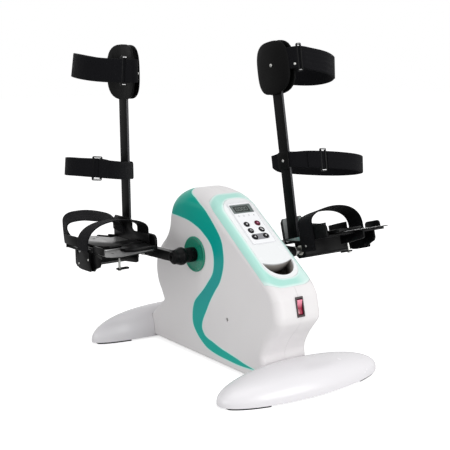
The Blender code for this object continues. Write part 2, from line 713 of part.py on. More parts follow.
def make_frame(steel):
    """Spine, a cross bar in each foot and two upright plates with bearing seats."""
    frame = box("base_frame", (-SPINE_HALF, SPINE_HALF),
                (CROSSBAR_FRONT_Y - CROSSBAR_DEPTH / 2, CROSSBAR_REAR_Y + CROSSBAR_DEPTH / 2),
                (SPINE_BOTTOM, SPINE_TOP), steel)
    for i, y in enumerate((CROSSBAR_FRONT_Y, CROSSBAR_REAR_Y)):
        join(frame, box("crossbar_%d" % i, (-CROSSBAR_HALF, CROSSBAR_HALF),
                        (y - CROSSBAR_DEPTH / 2, y + CROSSBAR_DEPTH / 2),
                        (SPINE_BOTTOM, SPINE_TOP)))
    seat = BEARING_RADIUS + FIT + BEARING_SEAT
    for name, side in SIDES.items():
        plate = sorted((side * UPRIGHT_OUTER, side * (UPRIGHT_OUTER - UPRIGHT_PLATE)))
        join(frame, prism("upright_" + name, upright_outline(), *plate, SIDE_VIEW))
        middle = side * (UPRIGHT_OUTER - UPRIGHT_PLATE / 2)
        ends = [middle - BEARING_WIDTH / 2, middle + BEARING_WIDTH / 2]
        join(frame, turned("seat_" + name, [(ends[0], seat), (ends[1], seat)], (AXLE_Y, AXLE_Z)))
        bore = BEARING_RADIUS + FIT
        cut(frame, turned("bore_" + name, [(ends[0] - 0.002, bore), (ends[1] + 0.002, bore)],
                          (AXLE_Y, AXLE_Z)))
    return frame


def belt_points(extra, steps=14):
    """Outline of a belt round the motor pulley and the crank pulley, in the side view."""
    first = Vector((MOTOR_Y, MOTOR_SHAFT_Z))
    second = Vector((AXLE_Y, AXLE_Z))
    along = second - first
    heading = math.atan2(along.y, along.x)
    lean = math.acos((MOTOR_PULLEY_RADIUS - CRANK_PULLEY_RADIUS) / along.length)
    points = []
    for i in range(2 * steps + 1):
        t = heading - lean + 2 * lean * i / (2 * steps)
        radius = CRANK_PULLEY_RADIUS + extra
        points.append((second.x + radius * math.cos(t), second.y + radius * math.sin(t)))
    for i in range(steps + 1):
        t = heading + lean + (2 * math.pi - 2 * lean) * i / steps
        radius = MOTOR_PULLEY_RADIUS + extra
        points.append((first.x + radius * math.cos(t), first.y + radius * math.sin(t)))
    return points


def pulley(name, radius, bore, centre, mat, parent):
    """Belt pulley with a flange at each end of its rim and a shallow web."""
    half = PULLEY_WIDTH / 2
    rim = radius - 0.006
    hub = bore + 0.007
    web = half * 0.5
    profile = [(-half, bore), (-half, hub), (-web, hub), (-web, rim), (-half, rim), (-half, radius),
               (half, radius), (half, rim), (web, rim), (web, hub), (half, hub), (half, bore)]
    if rim - hub < 0.004:
        profile = [(-half, bore), (-half, radius), (half, radius), (half, bore)]
    return turned(name, profile, centre, mat, parent, bored=True, segments=36)


def make_drive(steel, motor_grey, plastic, rubber, crank_axis):
    """Gear motor on the spine, its pulley, the belt, the crank pulley and the axle."""
    bottom = SPINE_TOP + FIT
    width, depth, height = GEARBOX_SIZE
    gearbox = (GEARBOX_X - width / 2, GEARBOX_X + width / 2)
    motor = box("gear_motor", gearbox, (MOTOR_Y - depth / 2, MOTOR_Y + depth / 2),
                (bottom, bottom + height), motor_grey)
    join(motor, prism("motor_can", circle(MOTOR_RADIUS, (GEARBOX_X, MOTOR_Y)),
                      bottom + height / 2, bottom + height + MOTOR_HEIGHT))
    join(motor, turned("motor_shaft", [(GEARBOX_X, MOTOR_SHAFT_RADIUS),
                                       (MOTOR_SHAFT_TIP, MOTOR_SHAFT_RADIUS)],
                       (MOTOR_Y, MOTOR_SHAFT_Z)))
    motor_axis = joint_axis("motor_axis", (0.0, MOTOR_Y, MOTOR_SHAFT_Z))
    pulley("motor_pulley", MOTOR_PULLEY_RADIUS, MOTOR_SHAFT_RADIUS + FIT, (0.0, 0.0), steel,
           motor_axis)
    belt = prism("drive_belt", belt_points(FIT + BELT_THICKNESS), -BELT_WIDTH / 2, BELT_WIDTH / 2,
                 SIDE_VIEW, rubber)
    cut(belt, prism("belt_inside", belt_points(FIT), -BELT_WIDTH, BELT_WIDTH, SIDE_VIEW))
    pulley("crank_pulley", CRANK_PULLEY_RADIUS, AXLE_RADIUS + FIT, (0.0, 0.0), plastic, crank_axis)
    reach = BOSS_BORE_END - FIT
    turned("crank_axle", [(-reach, AXLE_RADIUS), (reach, AXLE_RADIUS)], (0.0, 0.0), steel,
           crank_axis)
    for name, side in SIDES.items():
        middle = side * (UPRIGHT_OUTER - UPRIGHT_PLATE / 2)
        ends = (middle - BEARING_WIDTH / 2, middle + BEARING_WIDTH / 2)
        inner = AXLE_RADIUS + FIT
        turned("bearing_" + name, [(ends[0], inner), (ends[0], BEARING_RADIUS),
                                   (ends[1], BEARING_RADIUS), (ends[1], inner)],
               (AXLE_Y, AXLE_Z), steel, None, bored=True)


def make_cover(name, side, green):
    """Round cover on the flank, with a raised rim."""
    near = side * (HALF_WIDTH + FIT)
    face = near + side * COVER_THICKNESS * 0.7
    rim = near + side * COVER_THICKNESS
    inner = AXLE_RADIUS + 2 * FIT
    turned("axle_cover_" + name,
           [(near, inner), (near, COVER_RADIUS), (rim, COVER_RADIUS - 0.0006),
            (rim, COVER_RADIUS - COVER_RIM), (face, COVER_RADIUS - COVER_RIM - 0.0006),
            (face, inner)], (AXLE_Y, AXLE_Z), green, None, bored=True, segments=36)


def make_crank(name, side, black, crank_axis):
    """Boss on the axle, tapered towards its tip, and an arm with the pedal spindle's eye."""
    direction = -side
    boss = turned("crank_" + name,
                  [(side * BOSS_START, BOSS_INNER_RADIUS), (side * BOSS_STEP, BOSS_INNER_RADIUS),
                   (side * (BOSS_STEP + 0.003), BOSS_OUTER_RADIUS),
                   (side * BOSS_TAPER, BOSS_OUTER_RADIUS),
                   (side * (BOSS_END - 0.0015), BOSS_TIP_RADIUS + 0.0008),
                   (side * BOSS_END, BOSS_TIP_RADIUS)], (0.0, 0.0), black, crank_axis)
    arm = []
    for i in range(9):
        t = math.pi / 2 + math.pi * i / 8
        arm.append((-ARM_ROOT_HALF * math.cos(t) * direction * -1, ARM_ROOT_HALF * math.sin(t)))
    for i in range(9):
        t = -math.pi / 2 + math.pi * i / 8
        arm.append((direction * (CRANK_LENGTH + ARM_EYE_RADIUS * math.cos(t)),
                    ARM_EYE_RADIUS * math.sin(t)))
    thickness = sorted((side * ARM_INNER, side * ARM_OUTER))
    join(boss, prism("arm_" + name, arm, *thickness, SIDE_VIEW, None, crank_axis))
    bore = AXLE_RADIUS + FIT
    cut(boss, turned("boss_bore_" + name, [(side * 0.04, bore), (side * BOSS_BORE_END, bore)],
                     (0.0, 0.0), None, crank_axis))
    eye = SPINDLE_THREAD_RADIUS + FIT
    cut(boss, turned("eye_bore_" + name, [(side * 0.06, eye), (side * 0.1, eye)],
                     (direction * CRANK_LENGTH, 0.0), None, crank_axis))


def make_spindle(name, side, steel, crank_axis):
    centre = (-side * CRANK_LENGTH, 0.0)
    collar = ARM_OUTER + FIT
    profile = [(ARM_INNER, SPINDLE_THREAD_RADIUS), (collar, SPINDLE_THREAD_RADIUS),
               (collar, SPINDLE_COLLAR_RADIUS), (collar + SPINDLE_COLLAR, SPINDLE_COLLAR_RADIUS),
               (collar + SPINDLE_COLLAR, SPINDLE_RADIUS), (SPINDLE_TIP, SPINDLE_RADIUS)]
    turned("pedal_spindle_" + name, [(side * x, r) for x, r in profile], centre, steel, crank_axis)


def side_prism(name, side, u_range, outline, mat=None, parent=None):
    """Outline in (v, z), from one distance outwards to another on the given side."""
    ends = sorted((side * u_range[0], side * u_range[1]))
    return prism(name, outline, *ends, SIDE_VIEW, mat, parent)


def plan_prism(name, side, outline, low, high, mat=None, parent=None):
    """Outline in (u, v), mirrored onto the given side."""
    return prism(name, [(side * u, v) for u, v in outline], low, high, PLAN_VIEW, mat, parent)


def wall_outline(start, finish, low, high, corner=0.010):
    """Upright wall seen from the side, with rounded upper corners."""
    points = [(finish, low)]
    for i in range(5):
        t = math.pi / 2 * i / 4
        points.append((finish - corner + corner * math.cos(t), high - corner + corner * math.sin(t)))
    for i in range(5):
        t = math.pi / 2 + math.pi / 2 * i / 4
        points.append((start + corner + corner * math.cos(t), high - corner + corner * math.sin(t)))
    return points + [(start, low)]


def floor_outline():
    wing = PEDAL_OUTER + 0.007
    return [(PEDAL_INNER, PEDAL_HEEL), (PEDAL_OUTER - 0.035, PEDAL_HEEL_WING + 0.008),
            (wing - 0.010, PEDAL_HEEL_WING), (wing - 0.001, PEDAL_HEEL_WING + 0.006),
            (PEDAL_OUTER, PEDAL_HEEL + 0.006), (PEDAL_OUTER, TOE_START),
            (TOE_OUTER_END, TOE_END), (TOE_OUTER_END - 0.009, PEDAL_TOE),
            (TOE_INNER_END + 0.009, PEDAL_TOE), (TOE_INNER_END, TOE_END), (PEDAL_INNER, TOE_START)]


def toe_wall(name, side, corner, end, outward, axis):
    """Low wall along one slanted edge of the pedal's toe."""
    inside = -outward * 0.0005
    outside = outward * (PEDAL_WALL - 0.0005)
    outline = [(corner + inside, TOE_START), (corner + outside, TOE_START),
               (end + outside, TOE_END), (end + inside, TOE_END)]
    return plan_prism(name, side, outline, FLOOR_BOTTOM, TOE_WALL_TOP, None, axis)


def make_pedal(name, side, black, axis):
    """Pedal base: floor, heel wall, outer wall, a heel wing with its tab, and the hub."""
    base = plan_prism("pedal_base_" + name, side, floor_outline(), FLOOR_BOTTOM, FLOOR_TOP,
                      black, axis)
    start, finish, top = HEEL_WALL
    join(base, side_prism("heel_wall_" + name, side, (PEDAL_FACE, PEDAL_INNER + 0.0005),
                          wall_outline(start, finish, FLOOR_BOTTOM, top), None, axis))
    start, finish, top = OUTER_WALL
    join(base, side_prism("outer_wall_" + name, side,
                          (PEDAL_OUTER - 0.0005, PEDAL_OUTER + PEDAL_WALL),
                          wall_outline(start, finish, SIDE_WALL_BOTTOM, top, 0.004), None, axis))
    join(base, toe_wall("toe_outer_" + name, side, PEDAL_OUTER, TOE_OUTER_END, 1.0, axis))
    join(base, toe_wall("toe_inner_" + name, side, PEDAL_INNER, TOE_INNER_END, -1.0, axis))
    join(base, side_prism("wing_tab_" + name, side, (PEDAL_OUTER - 0.001, PEDAL_OUTER + 0.002),
                          wall_outline(*WING_TAB[:2], FLOOR_BOTTOM + 0.001, WING_TAB[2], 0.006),
                          None, axis))
    hub = [(HUB_HALF, FLOOR_BOTTOM + 0.001), (-HUB_HALF, FLOOR_BOTTOM + 0.001),
           (-HUB_HALF, HUB_BOTTOM + 0.005), (-HUB_HALF + 0.006, HUB_BOTTOM),
           (HUB_HALF - 0.006, HUB_BOTTOM), (HUB_HALF, HUB_BOTTOM + 0.005)]
    join(base, side_prism("pedal_hub_" + name, side, (PEDAL_FACE + 0.0005, PEDAL_OUTER), hub,
                          None, axis))
    bore = BUSH_RADIUS + FIT
    cut(base, turned("hub_bore_" + name, [(side * 0.095, bore), (side * 0.23, bore)], (0.0, 0.0),
                     None, axis))
    turned("pedal_bush_" + name,
           [(side * PEDAL_FACE, SPINDLE_RADIUS + FIT), (side * PEDAL_FACE, BUSH_RADIUS),
            (side * PEDAL_OUTER, BUSH_RADIUS), (side * PEDAL_OUTER, SPINDLE_RADIUS + FIT)],
           (0.0, 0.0), material("bush_" + name, (0.75, 0.73, 0.68), 0.5), axis, bored=True)


def make_foot_plate(name, side, steel, axis):
    """Steel plate on the pedal floor, with a flange bent up as the leg bar's tab."""
    u0, u1, v0, v1 = FOOT_PLATE
    toe0, toe1 = FOOT_PLATE_TOE
    flange0, flange1 = FOOT_PLATE_FLANGE
    outline = [(TAB_INNER, flange0), (u0, flange0), (u0, v0 + 0.006), (u0 + 0.006, v0),
               (u1 - 0.006, v0), (u1, v0 + 0.006), (u1, TOE_START - 0.004), (toe1, v1),
               (toe0, v1), (u0 + 0.004, flange1), (TAB_INNER, flange1)]
    plate = plan_prism("foot_plate_" + name, side, outline, PLATE_BOTTOM, PLATE_TOP, steel, axis)
    join(plate, side_prism("plate_tab_" + name, side, (TAB_INNER, TAB_OUTER),
                           wall_outline(flange0, flange1, PLATE_BOTTOM, FOOT_PLATE_TAB_TOP, 0.004),
                           None, axis))
    for i, (u, v) in enumerate(FOOT_PLATE_HOLES):
        hole = circle(FOOT_PLATE_HOLE, (side * u, v), 12)
        cut(plate, prism("plate_hole_%s_%d" % (name, i), hole, 0.0, 0.04, PLAN_VIEW, None, axis))


def ribbon(name, centres, acrosses, thickness, closed, mat, parent):
    """A flat strap: centre points, the half width vector at each, and a thickness."""
    count = len(centres)
    rows = []
    for i in range(count):
        after = centres[(i + 1) % count] if closed or i + 1 < count else centres[i]
        before = centres[i - 1] if closed or i > 0 else centres[i]
        tangent = (after - before).normalized()
        out = tangent.cross(acrosses[i]).normalized() * thickness / 2
        rows.append([centres[i] + acrosses[i] + out, centres[i] + acrosses[i] - out,
                     centres[i] - acrosses[i] - out, centres[i] - acrosses[i] + out])
    verts = [v for row in rows for v in row]
    faces = []
    for i in range(count if closed else count - 1):
        j = (i + 1) % count
        for k in range(4):
            m = (k + 1) % 4
            faces.append([4 * i + k, 4 * i + m, 4 * j + m, 4 * j + k])
    if not closed:
        faces.append([0, 1, 2, 3])
        faces.append([4 * (count - 1) + k for k in range(4)])
    return make_object(name, verts, faces, mat, parent)


def arch_strap(name, side, sizes, top, mat, axis):
    """Strap over the foot, from the pedal's inner face to the outer side of its outer wall.

    taper holds how fast the inner and the outer leg run towards each other along the foot.
    """
    middle = (sizes["from"] + sizes["to"]) / 2
    half = (sizes["to"] - sizes["from"]) / 2
    inner_slope, outer_slope = sizes["taper"]
    gap = FIT + STRAP_THICKNESS / 2
    inner = PEDAL_FACE - gap * math.hypot(1, inner_slope) + inner_slope * (middle - TOE_START)
    outer = (PEDAL_OUTER + PEDAL_WALL + gap * math.hypot(1, outer_slope)
             - outer_slope * (middle - TOE_START))
    path = [(0.0, sizes["low"])]
    for i in range(PEDAL_STRAP_STEPS + 1):
        t = math.pi * (1 - i / PEDAL_STRAP_STEPS)
        share = (1 + math.cos(t)) / 2
        base = sizes["inner"] + (sizes["outer"] - sizes["inner"]) * share
        path.append((share, base + (top - base) * math.sin(t) ** 0.8))
    path.append((1.0, sizes["low"]))
    centres = []
    acrosses = []
    for share, z in path:
        centres.append(Vector((side * (inner + (outer - inner) * share), middle, z)))
        run = inner_slope * (1 - share) - outer_slope * share
        acrosses.append(Vector((side * run * half, half, 0.0)))
    return ribbon(name, centres, acrosses, STRAP_THICKNESS, False, mat, axis)


def loop_path(shape, loop):
    """Points of a strap loop, from the leg bar's inner face out to the side and back."""
    points = []
    count = len(shape)
    for i in range(count):
        before, here, after, later = (shape[(i + k) % count] for k in (-1, 0, 1, 2))
        for k in range(LOOP_STEPS):
            t = k / LOOP_STEPS
            share = []
            for a, b, c, d in zip(before, here, after, later):
                curve = 2 * b + (c - a) * t + (2 * a - 5 * b + 4 * c - d) * t ** 2
                share.append((curve + (3 * b - a - 3 * c + d) * t ** 3) / 2)
            points.append((share[0] * loop["length"], share[1] * loop["half"]))
    return points


def strap_frame(side, loop, point):
    """Place and up direction of the strap where the flat path has point.

    The band stays upright where it lies on the bar and leans more the further out it runs.
    """
    out, along = point
    weight = min(max(out / loop["length"], 0.0), 1.0)
    inner = BAR_INNER - FIT - STRAP_THICKNESS / 2
    rise = max(out, 0.0) * math.sin(loop["lift"]) - along * math.sin(loop["droop"]) * weight
    centre = Vector((side * (inner + out * math.cos(loop["lift"])), BAR_V + along,
                     loop["height"] + rise))
    up = Vector((-side * math.sin(loop["lift"]) * weight, math.sin(loop["droop"]) * weight, 1.0))
    return centre, up.normalized()


def strap_and_buckle(kind, shape, name, side, strap_mat, buckle_mat, parent):
    """A closed strap round the leg bar, and its buckle on the run nearest the user."""
    loop = LOOPS[kind, name]
    places = [strap_frame(side, loop, point) for point in loop_path(shape, loop)]
    ribbon("%s_strap_%s" % (kind, name), [centre for centre, up in places],
           [up * loop["band"] / 2 for centre, up in places], STRAP_THICKNESS, True, strap_mat,
           parent)
    index = int(loop["buckle"] * LOOP_STEPS)
    centre, up = places[index]
    run = (places[index + 1][0] - places[index - 1][0]).normalized()
    level = (run - up * run.dot(up)).normalized()
    sideways = up.cross(level)
    turn = -side * BUCKLE_TURN
    across = level * math.cos(turn) + sideways * math.sin(turn)
    view = (centre, across, up, across.cross(up))
    half_width = BUCKLE_WIDTH / 2
    half_height = loop["band"] / 2 + BUCKLE_MARGIN + BUCKLE_WIRE
    ring = prism("%s_buckle_%s" % (kind, name),
                 rounded_rectangle(-half_width, half_width, -half_height, half_height, 0.002, 2),
                 -BUCKLE_THICKNESS / 2, BUCKLE_THICKNESS / 2, view, buckle_mat, parent)
    window = rounded_rectangle(-half_width + BUCKLE_WIRE, half_width - BUCKLE_WIRE,
                               -half_height + BUCKLE_WIRE, half_height - BUCKLE_WIRE, 0.001, 2)
    cut(ring, prism("%s_buckle_window_%s" % (kind, name), window, -0.01, 0.01, view, None, parent))


def calf_pad(name, side, mat, axis):
    """Rounded pad, bent a little round the calf, on the outer side of the leg bar."""
    face = BAR_OUTER + FIT - (BAR_INNER + BAR_OUTER) / 2
    power = 2 / CALF_PAD_FULLNESS
    outline = [(math.copysign(abs(v) ** power, v), math.copysign(abs(h) ** power, h))
               for v, h in circle(1.0, segments=CALF_PAD_SEGMENTS)]
    verts = []
    for layer in (0.0, CALF_PAD_THICKNESS):
        radius = CALF_PAD_BEND - layer
        for ring in range(1, CALF_PAD_RINGS + 1):
            share = ring / CALF_PAD_RINGS
            for v, h in outline:
                bend = CALF_PAD_HALF_WIDTH * share * v / CALF_PAD_BEND
                u = face + CALF_PAD_BEND - radius * math.cos(bend)
                verts.append((side * u, radius * math.sin(bend), CALF_PAD_HALF_HEIGHT * share * h))
        verts.append((side * (face + layer), 0.0, 0.0))
    layer_size = CALF_PAD_RINGS * CALF_PAD_SEGMENTS + 1
    faces = []
    for layer in range(2):
        start = layer * layer_size
        for i in range(CALF_PAD_SEGMENTS):
            j = (i + 1) % CALF_PAD_SEGMENTS
            faces.append([start + i, start + j, start + layer_size - 1])
            for ring in range(CALF_PAD_RINGS - 1):
                low = start + ring * CALF_PAD_SEGMENTS
                high = low + CALF_PAD_SEGMENTS
                faces.append([low + i, low + j, high + j, high + i])
    rim = (CALF_PAD_RINGS - 1) * CALF_PAD_SEGMENTS
    for i in range(CALF_PAD_SEGMENTS):
        j = (i + 1) % CALF_PAD_SEGMENTS
        faces.append([rim + i, rim + j, layer_size + rim + j, layer_size + rim + i])
    make_object("calf_pad_" + name, verts, faces, mat, axis)


def make_leg_support(name, side, black, strap_black, leg_axis):
    """Flat steel bar on the pedal's tab, with the calf pad and the two strap loops."""
    start = BAR_V - BAR_WIDTH / 2
    pad = CALF_PADS[name]
    bar = wall_outline(start, start + BAR_WIDTH, BAR_BOTTOM, pad["height"] + BAR_PAST_PAD, 0.004)
    side_prism("leg_bar_" + name, side, (BAR_INNER, BAR_OUTER), bar, black, leg_axis)
    middle = (BAR_INNER + BAR_OUTER) / 2
    calf_axis = joint_axis(name + "_calf_axis",
                           (side * middle, BAR_V + pad["shift"], pad["height"]), (0, 0, 0), leg_axis)
    calf_pad(name, side, black, calf_axis)
    strap_and_buckle("calf", CALF_LOOP, name, side, strap_black, black, leg_axis)
    strap_and_buckle("shin", SHIN_LOOP, name, side, strap_black, black, leg_axis)


def shade_round():
    """Smooth shading with sharp edges kept, for every piece."""
    for obj in bpy.data.objects:
        if obj.type == "MESH" and not obj.hide_render:
            obj.data.shade_smooth()
            obj.data.set_sharp_from_angle(angle=SHARP_ANGLE)


def build():
    clear_scene()
    paint = material("white_paint", (0.82, 0.80, 0.80), 0.25)
    white = material("white_panel", (0.86, 0.86, 0.86), 0.30)
    mint = material("mint", (0.40, 0.86, 0.74), 0.30)
    green = material("cover_green", (0.012, 0.26, 0.14), 0.35)
    black = material("black_plastic", (0.010, 0.010, 0.011), 0.40)
    strap_black = material("black_webbing", (0.018, 0.018, 0.020), 0.85)
    rubber = material("rubber", (0.02, 0.02, 0.02), 0.80)
    steel = material("steel", (0.45, 0.45, 0.46), 0.35, 1.0)
    frame_black = material("frame_paint", (0.03, 0.03, 0.03), 0.50)
    motor_grey = material("motor_grey", (0.30, 0.31, 0.33), 0.45, 0.6)
    glass = material("display", (0.05, 0.07, 0.06), 0.15)
    board_green = material("board_green", (0.02, 0.16, 0.06), 0.45)
    red = material("rocker_red", (0.32, 0.012, 0.05), 0.20)

    make_casing(paint, mint, white)
    make_console(white, glass, board_green, paint)
    make_switch(black, red)
    make_inlet(black)
    make_foot("front_foot", FRONT_FOOT, CROSSBAR_FRONT_Y, paint, rubber)
    make_foot("rear_foot", REAR_FOOT, CROSSBAR_REAR_Y, paint, rubber)
    make_frame(frame_black)
    crank_axis = joint_axis("crank_axis", (0.0, AXLE_Y, AXLE_Z), (-CRANK_DROP, 0.0, 0.0))
    make_drive(steel, motor_grey, black, rubber, crank_axis)
    for name, side in SIDES.items():
        make_cover(name, side, green)
        make_crank(name, side, black, crank_axis)
        make_spindle(name, side, steel, crank_axis)
        reach = -side * CRANK_LENGTH
        place = (0.0, AXLE_Y + reach * math.cos(CRANK_DROP), AXLE_Z - reach * math.sin(CRANK_DROP))
        pedal_axis = joint_axis(name + "_pedal_axis", place, (-PEDAL_TILT[name], 0.0, 0.0))
        make_pedal(name, side, black, pedal_axis)
        make_foot_plate(name, side, steel, pedal_axis)
        arch_strap("instep_strap_" + name, side, INSTEP_STRAP, INSTEP_STRAP_TOP, strap_black,
                   pedal_axis)
        toe_strap = dict(TOE_STRAP, taper=(TOE_INNER_SLOPE, TOE_OUTER_SLOPE))
        arch_strap("toe_strap_" + name, side, toe_strap, TOE_STRAP_TOP[name], strap_black,
                   pedal_axis)
        leg_axis = joint_axis(name + "_leg_place", place, (-LEG_TILT[name], 0.0, 0.0))
        make_leg_support(name, side, black, strap_black, leg_axis)
    shade_round()


build()
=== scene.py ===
"""Looks of the motorized exercise bike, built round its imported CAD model.

The bike is a two-shell plastic housing on two cross feet, with a sloping console, cranks,
foot pedals and a strapped leg support standing on each pedal.
"""
import math

import bmesh
import bpy
import numpy as np
from mathutils.geometry import delaunay_2d_cdt
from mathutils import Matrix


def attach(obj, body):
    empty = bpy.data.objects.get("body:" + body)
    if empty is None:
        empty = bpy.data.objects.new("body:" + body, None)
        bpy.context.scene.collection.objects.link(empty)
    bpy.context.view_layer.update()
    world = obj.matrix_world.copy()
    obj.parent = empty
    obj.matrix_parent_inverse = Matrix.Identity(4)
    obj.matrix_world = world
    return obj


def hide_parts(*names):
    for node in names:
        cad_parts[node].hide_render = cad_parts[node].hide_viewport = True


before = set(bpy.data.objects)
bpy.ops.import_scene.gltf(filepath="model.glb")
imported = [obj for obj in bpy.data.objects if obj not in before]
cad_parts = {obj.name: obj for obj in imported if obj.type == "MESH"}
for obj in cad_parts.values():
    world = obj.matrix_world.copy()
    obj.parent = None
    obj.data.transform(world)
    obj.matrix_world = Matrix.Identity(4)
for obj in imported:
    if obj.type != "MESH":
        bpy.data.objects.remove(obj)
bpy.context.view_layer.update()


# Camera and studio
# The bike stands on white paper in front of white paper, and is seen from its left front
# with a long lens. Soft boxes stand in front and above; the white room fills the shadows.
FOCAL_PIXELS = 924.23
FRAME_PIXELS = 450
CAMERA_PLACE = (-0.8972, -1.2036, 0.5021)
CAMERA_PITCH = 10.419
CAMERA_YAW = 36.365


def linear(colour):
    """Linear colour of sRGB hex digits such as #A0B1C2."""
    values = [int(colour[i:i + 2], 16) / 255 for i in (1, 3, 5)]
    return tuple(v / 12.92 if v <= 0.04045 else ((v + 0.055) / 1.055) ** 2.4
                 for v in values) + (1.0,)


def node(owner, kind, settings=None, inputs=None):
    """Adds one shader node; an input is a value, or a (node, output) pair that is linked."""
    tree = owner.node_tree
    made = tree.nodes.new("ShaderNode" + kind)
    for key, value in (settings or {}).items():
        setattr(made, key, value)
    for key, value in (inputs or {}).items():
        if isinstance(value, tuple) and isinstance(value[0], bpy.types.Node):
            tree.links.new(value[0].outputs[value[1]], made.inputs[key])
        else:
            made.inputs[key].default_value = value
    return made


def new_material(name):
    """Empty material with node trees switched on."""
    made = bpy.data.materials.new(name)
    made.use_nodes = True
    made.node_tree.nodes.clear()
    return made


def maths(owner, operation, *values):
    """Math node on one to three values, as the pair that stands for its output."""
    return node(owner, "Math", {"operation": operation}, dict(enumerate(values))), 0


def vector_maths(owner, operation, *values, output=0):
    """The same on vectors; a dot product or a length comes out of Value."""
    return node(owner, "VectorMath", {"operation": operation}, dict(enumerate(values))), output


def ranged(owner, value, low, high, to_low=0.0, to_high=1.0, curve="LINEAR"):
    """Value mapped from low and high to to_low and to_high, and held beyond them."""
    return node(owner, "MapRange", {"interpolation_type": curve},
                {"Value": value, "From Min": low, "From Max": high, "To Min": to_low,
                 "To Max": to_high}), 0


def mixed(owner, share, first, second):
    """Colour at a share of the way from one colour to another."""
    return node(owner, "Mix", {"data_type": "RGBA"}, {0: share, 6: first, 7: second}), 2


def darker(colour, share):
    """Linear colour of sRGB hex digits, scaled by a share."""
    return tuple(c * share for c in linear(colour)[:3]) + (1.0,)


def painted(owner, colour, roughness, normal, **settings):
    """Gives a material its surface; settings are further inputs by name."""
    shader = node(owner, "BsdfPrincipled", None, {"Base Color": colour, "Roughness": roughness,
                                                  "Normal": normal, **settings})
    node(owner, "OutputMaterial", None, {"Surface": (shader, 0)})
    return owner


def added(name, data):
    """New object of the scene for a mesh, a lamp or a camera."""
    made = bpy.data.objects.new(name, data)
    bpy.context.scene.collection.objects.link(made)
    return made


camera_data = bpy.data.cameras.new("camera")
camera_data.sensor_width = 36.0
camera_data.lens = 36.0 * FOCAL_PIXELS / FRAME_PIXELS
camera_data.clip_start = 0.05
camera = added("camera", camera_data)
camera.location = CAMERA_PLACE
camera.rotation_euler = (math.radians(90 - CAMERA_PITCH), 0.0, math.radians(-CAMERA_YAW))
bpy.context.scene.camera = camera
bpy.context.scene.view_settings.view_transform = "Standard"

world = bpy.data.worlds.new("white_room")
bpy.context.scene.world = world
world.use_nodes = True
world.node_tree.nodes.clear()
world_path = node(world, "LightPath")
seen_directly = maths(world, "MAXIMUM", (world_path, "Is Camera Ray"),
                      (world_path, "Is Transmission Ray"))
seen_at_all = maths(world, "MAXIMUM", seen_directly, (world_path, "Is Glossy Ray"))
room_level = ranged(world, seen_at_all, 0.0, 1.0, 0.50, 1.0)
room = node(world, "Background", None, {"Color": (1.0, 1.0, 1.0, 1.0), "Strength": room_level})
node(world, "OutputWorld", None, {"Surface": (room, 0)})


def soft_box(name, place, aim, size, power):
    """Square lamp at place that faces aim."""
    data = bpy.data.lights.new(name, "AREA")
    data.shape = "SQUARE"
    data.size = size
    data.energy = power
    lamp = added(name, data)
    x, y, z = (a - p for a, p in zip(aim, place))
    lamp.location = place
    lamp.rotation_euler = (math.atan2(math.hypot(x, y), -z), 0.0, math.atan2(-x, y))


soft_box("front_box", (0.55, -2.0, 0.85), (0.0, 0.0, 0.15), 1.3, 22.0)
soft_box("top_box", (-0.3, -0.2, 2.1), (0.0, 0.0, 0.1), 1.6, 9.5)
soft_box("left_box", (-2.1, -0.4, 0.8), (0.0, 0.0, 0.2), 1.2, 9.5)

PAPER_GLOW = 0.68
paper = new_material("white_paper_floor")
paper_path = node(paper, "LightPath")
paper_light = node(paper, "BsdfDiffuse", None, {"Color": linear("#E4E4E4")})
paper_level = maths(paper, "MULTIPLY", (paper_path, "Is Camera Ray"), PAPER_GLOW)
paper_lift = node(paper, "Emission", None, {"Color": (1.0, 1.0, 1.0, 1.0),
                                            "Strength": paper_level})
paper_sum = node(paper, "AddShader", None, {0: (paper_light, 0), 1: (paper_lift, 0)})
node(paper, "OutputMaterial", None, {"Surface": (paper_sum, 0)})
floor_mesh = bpy.data.meshes.new("floor")
floor_mesh.from_pydata([(-9, -9, 0), (9, -9, 0), (9, 9, 0), (-9, 9, 0)], [], [(0, 1, 2, 3)])
floor_mesh.materials.append(paper)
floor = added("floor", floor_mesh)


# Housing shells
# Two injection-moulded ABS half shells, glossy white, screwed together on the middle plane.
# A teal band with a thin pale mint outline is printed on each flank: it comes over the back
# of the top, runs down in an S and ends in a thin tip behind the front foot.
HOUSING_HALF = 0.0453
SEAM = 0.00015
CLEARANCE = 0.0003
OUTLINE_SPACING = 0.0022
EDGE_ROWS = 10
FLANK_SPACING = 0.003
# Side outline as y, z, edge radius and whether the point is a corner
SIDE_OUTLINE = [
    (-0.1415, 0.0050, 0.0035, 1), (-0.1435, 0.0340, 0.008, 0), (-0.1440, 0.0500, 0.010, 0),
    (-0.1560, 0.0720, 0.012, 0), (-0.1710, 0.0900, 0.014, 0), (-0.1795, 0.1020, 0.014, 0),
    (-0.1800, 0.1115, 0.014, 1), (-0.1735, 0.1400, 0.014, 1), (-0.1640, 0.1535, 0.013, 0),
    (-0.1485, 0.1665, 0.012, 1), (-0.0180, 0.2663, 0.024, 1), (0.0060, 0.2782, 0.028, 0),
    (0.0400, 0.2840, 0.030, 0), (0.0700, 0.2825, 0.028, 0), (0.0960, 0.2720, 0.024, 0),
    (0.1130, 0.2550, 0.020, 0), (0.1210, 0.2330, 0.018, 0), (0.1240, 0.2110, 0.016, 0),
    (0.1340, 0.1930, 0.016, 0), (0.1520, 0.1750, 0.016, 0), (0.1650, 0.1540, 0.016, 0),
    (0.1670, 0.1300, 0.014, 0), (0.1600, 0.1060, 0.012, 0), (0.1480, 0.0900, 0.010, 0),
    (0.1375, 0.0780, 0.006, 1), (0.1815, 0.0380, 0.004, 1), (0.1795, 0.0220, 0.0035, 1),
    (0.1675, 0.0050, 0.0035, 1)]
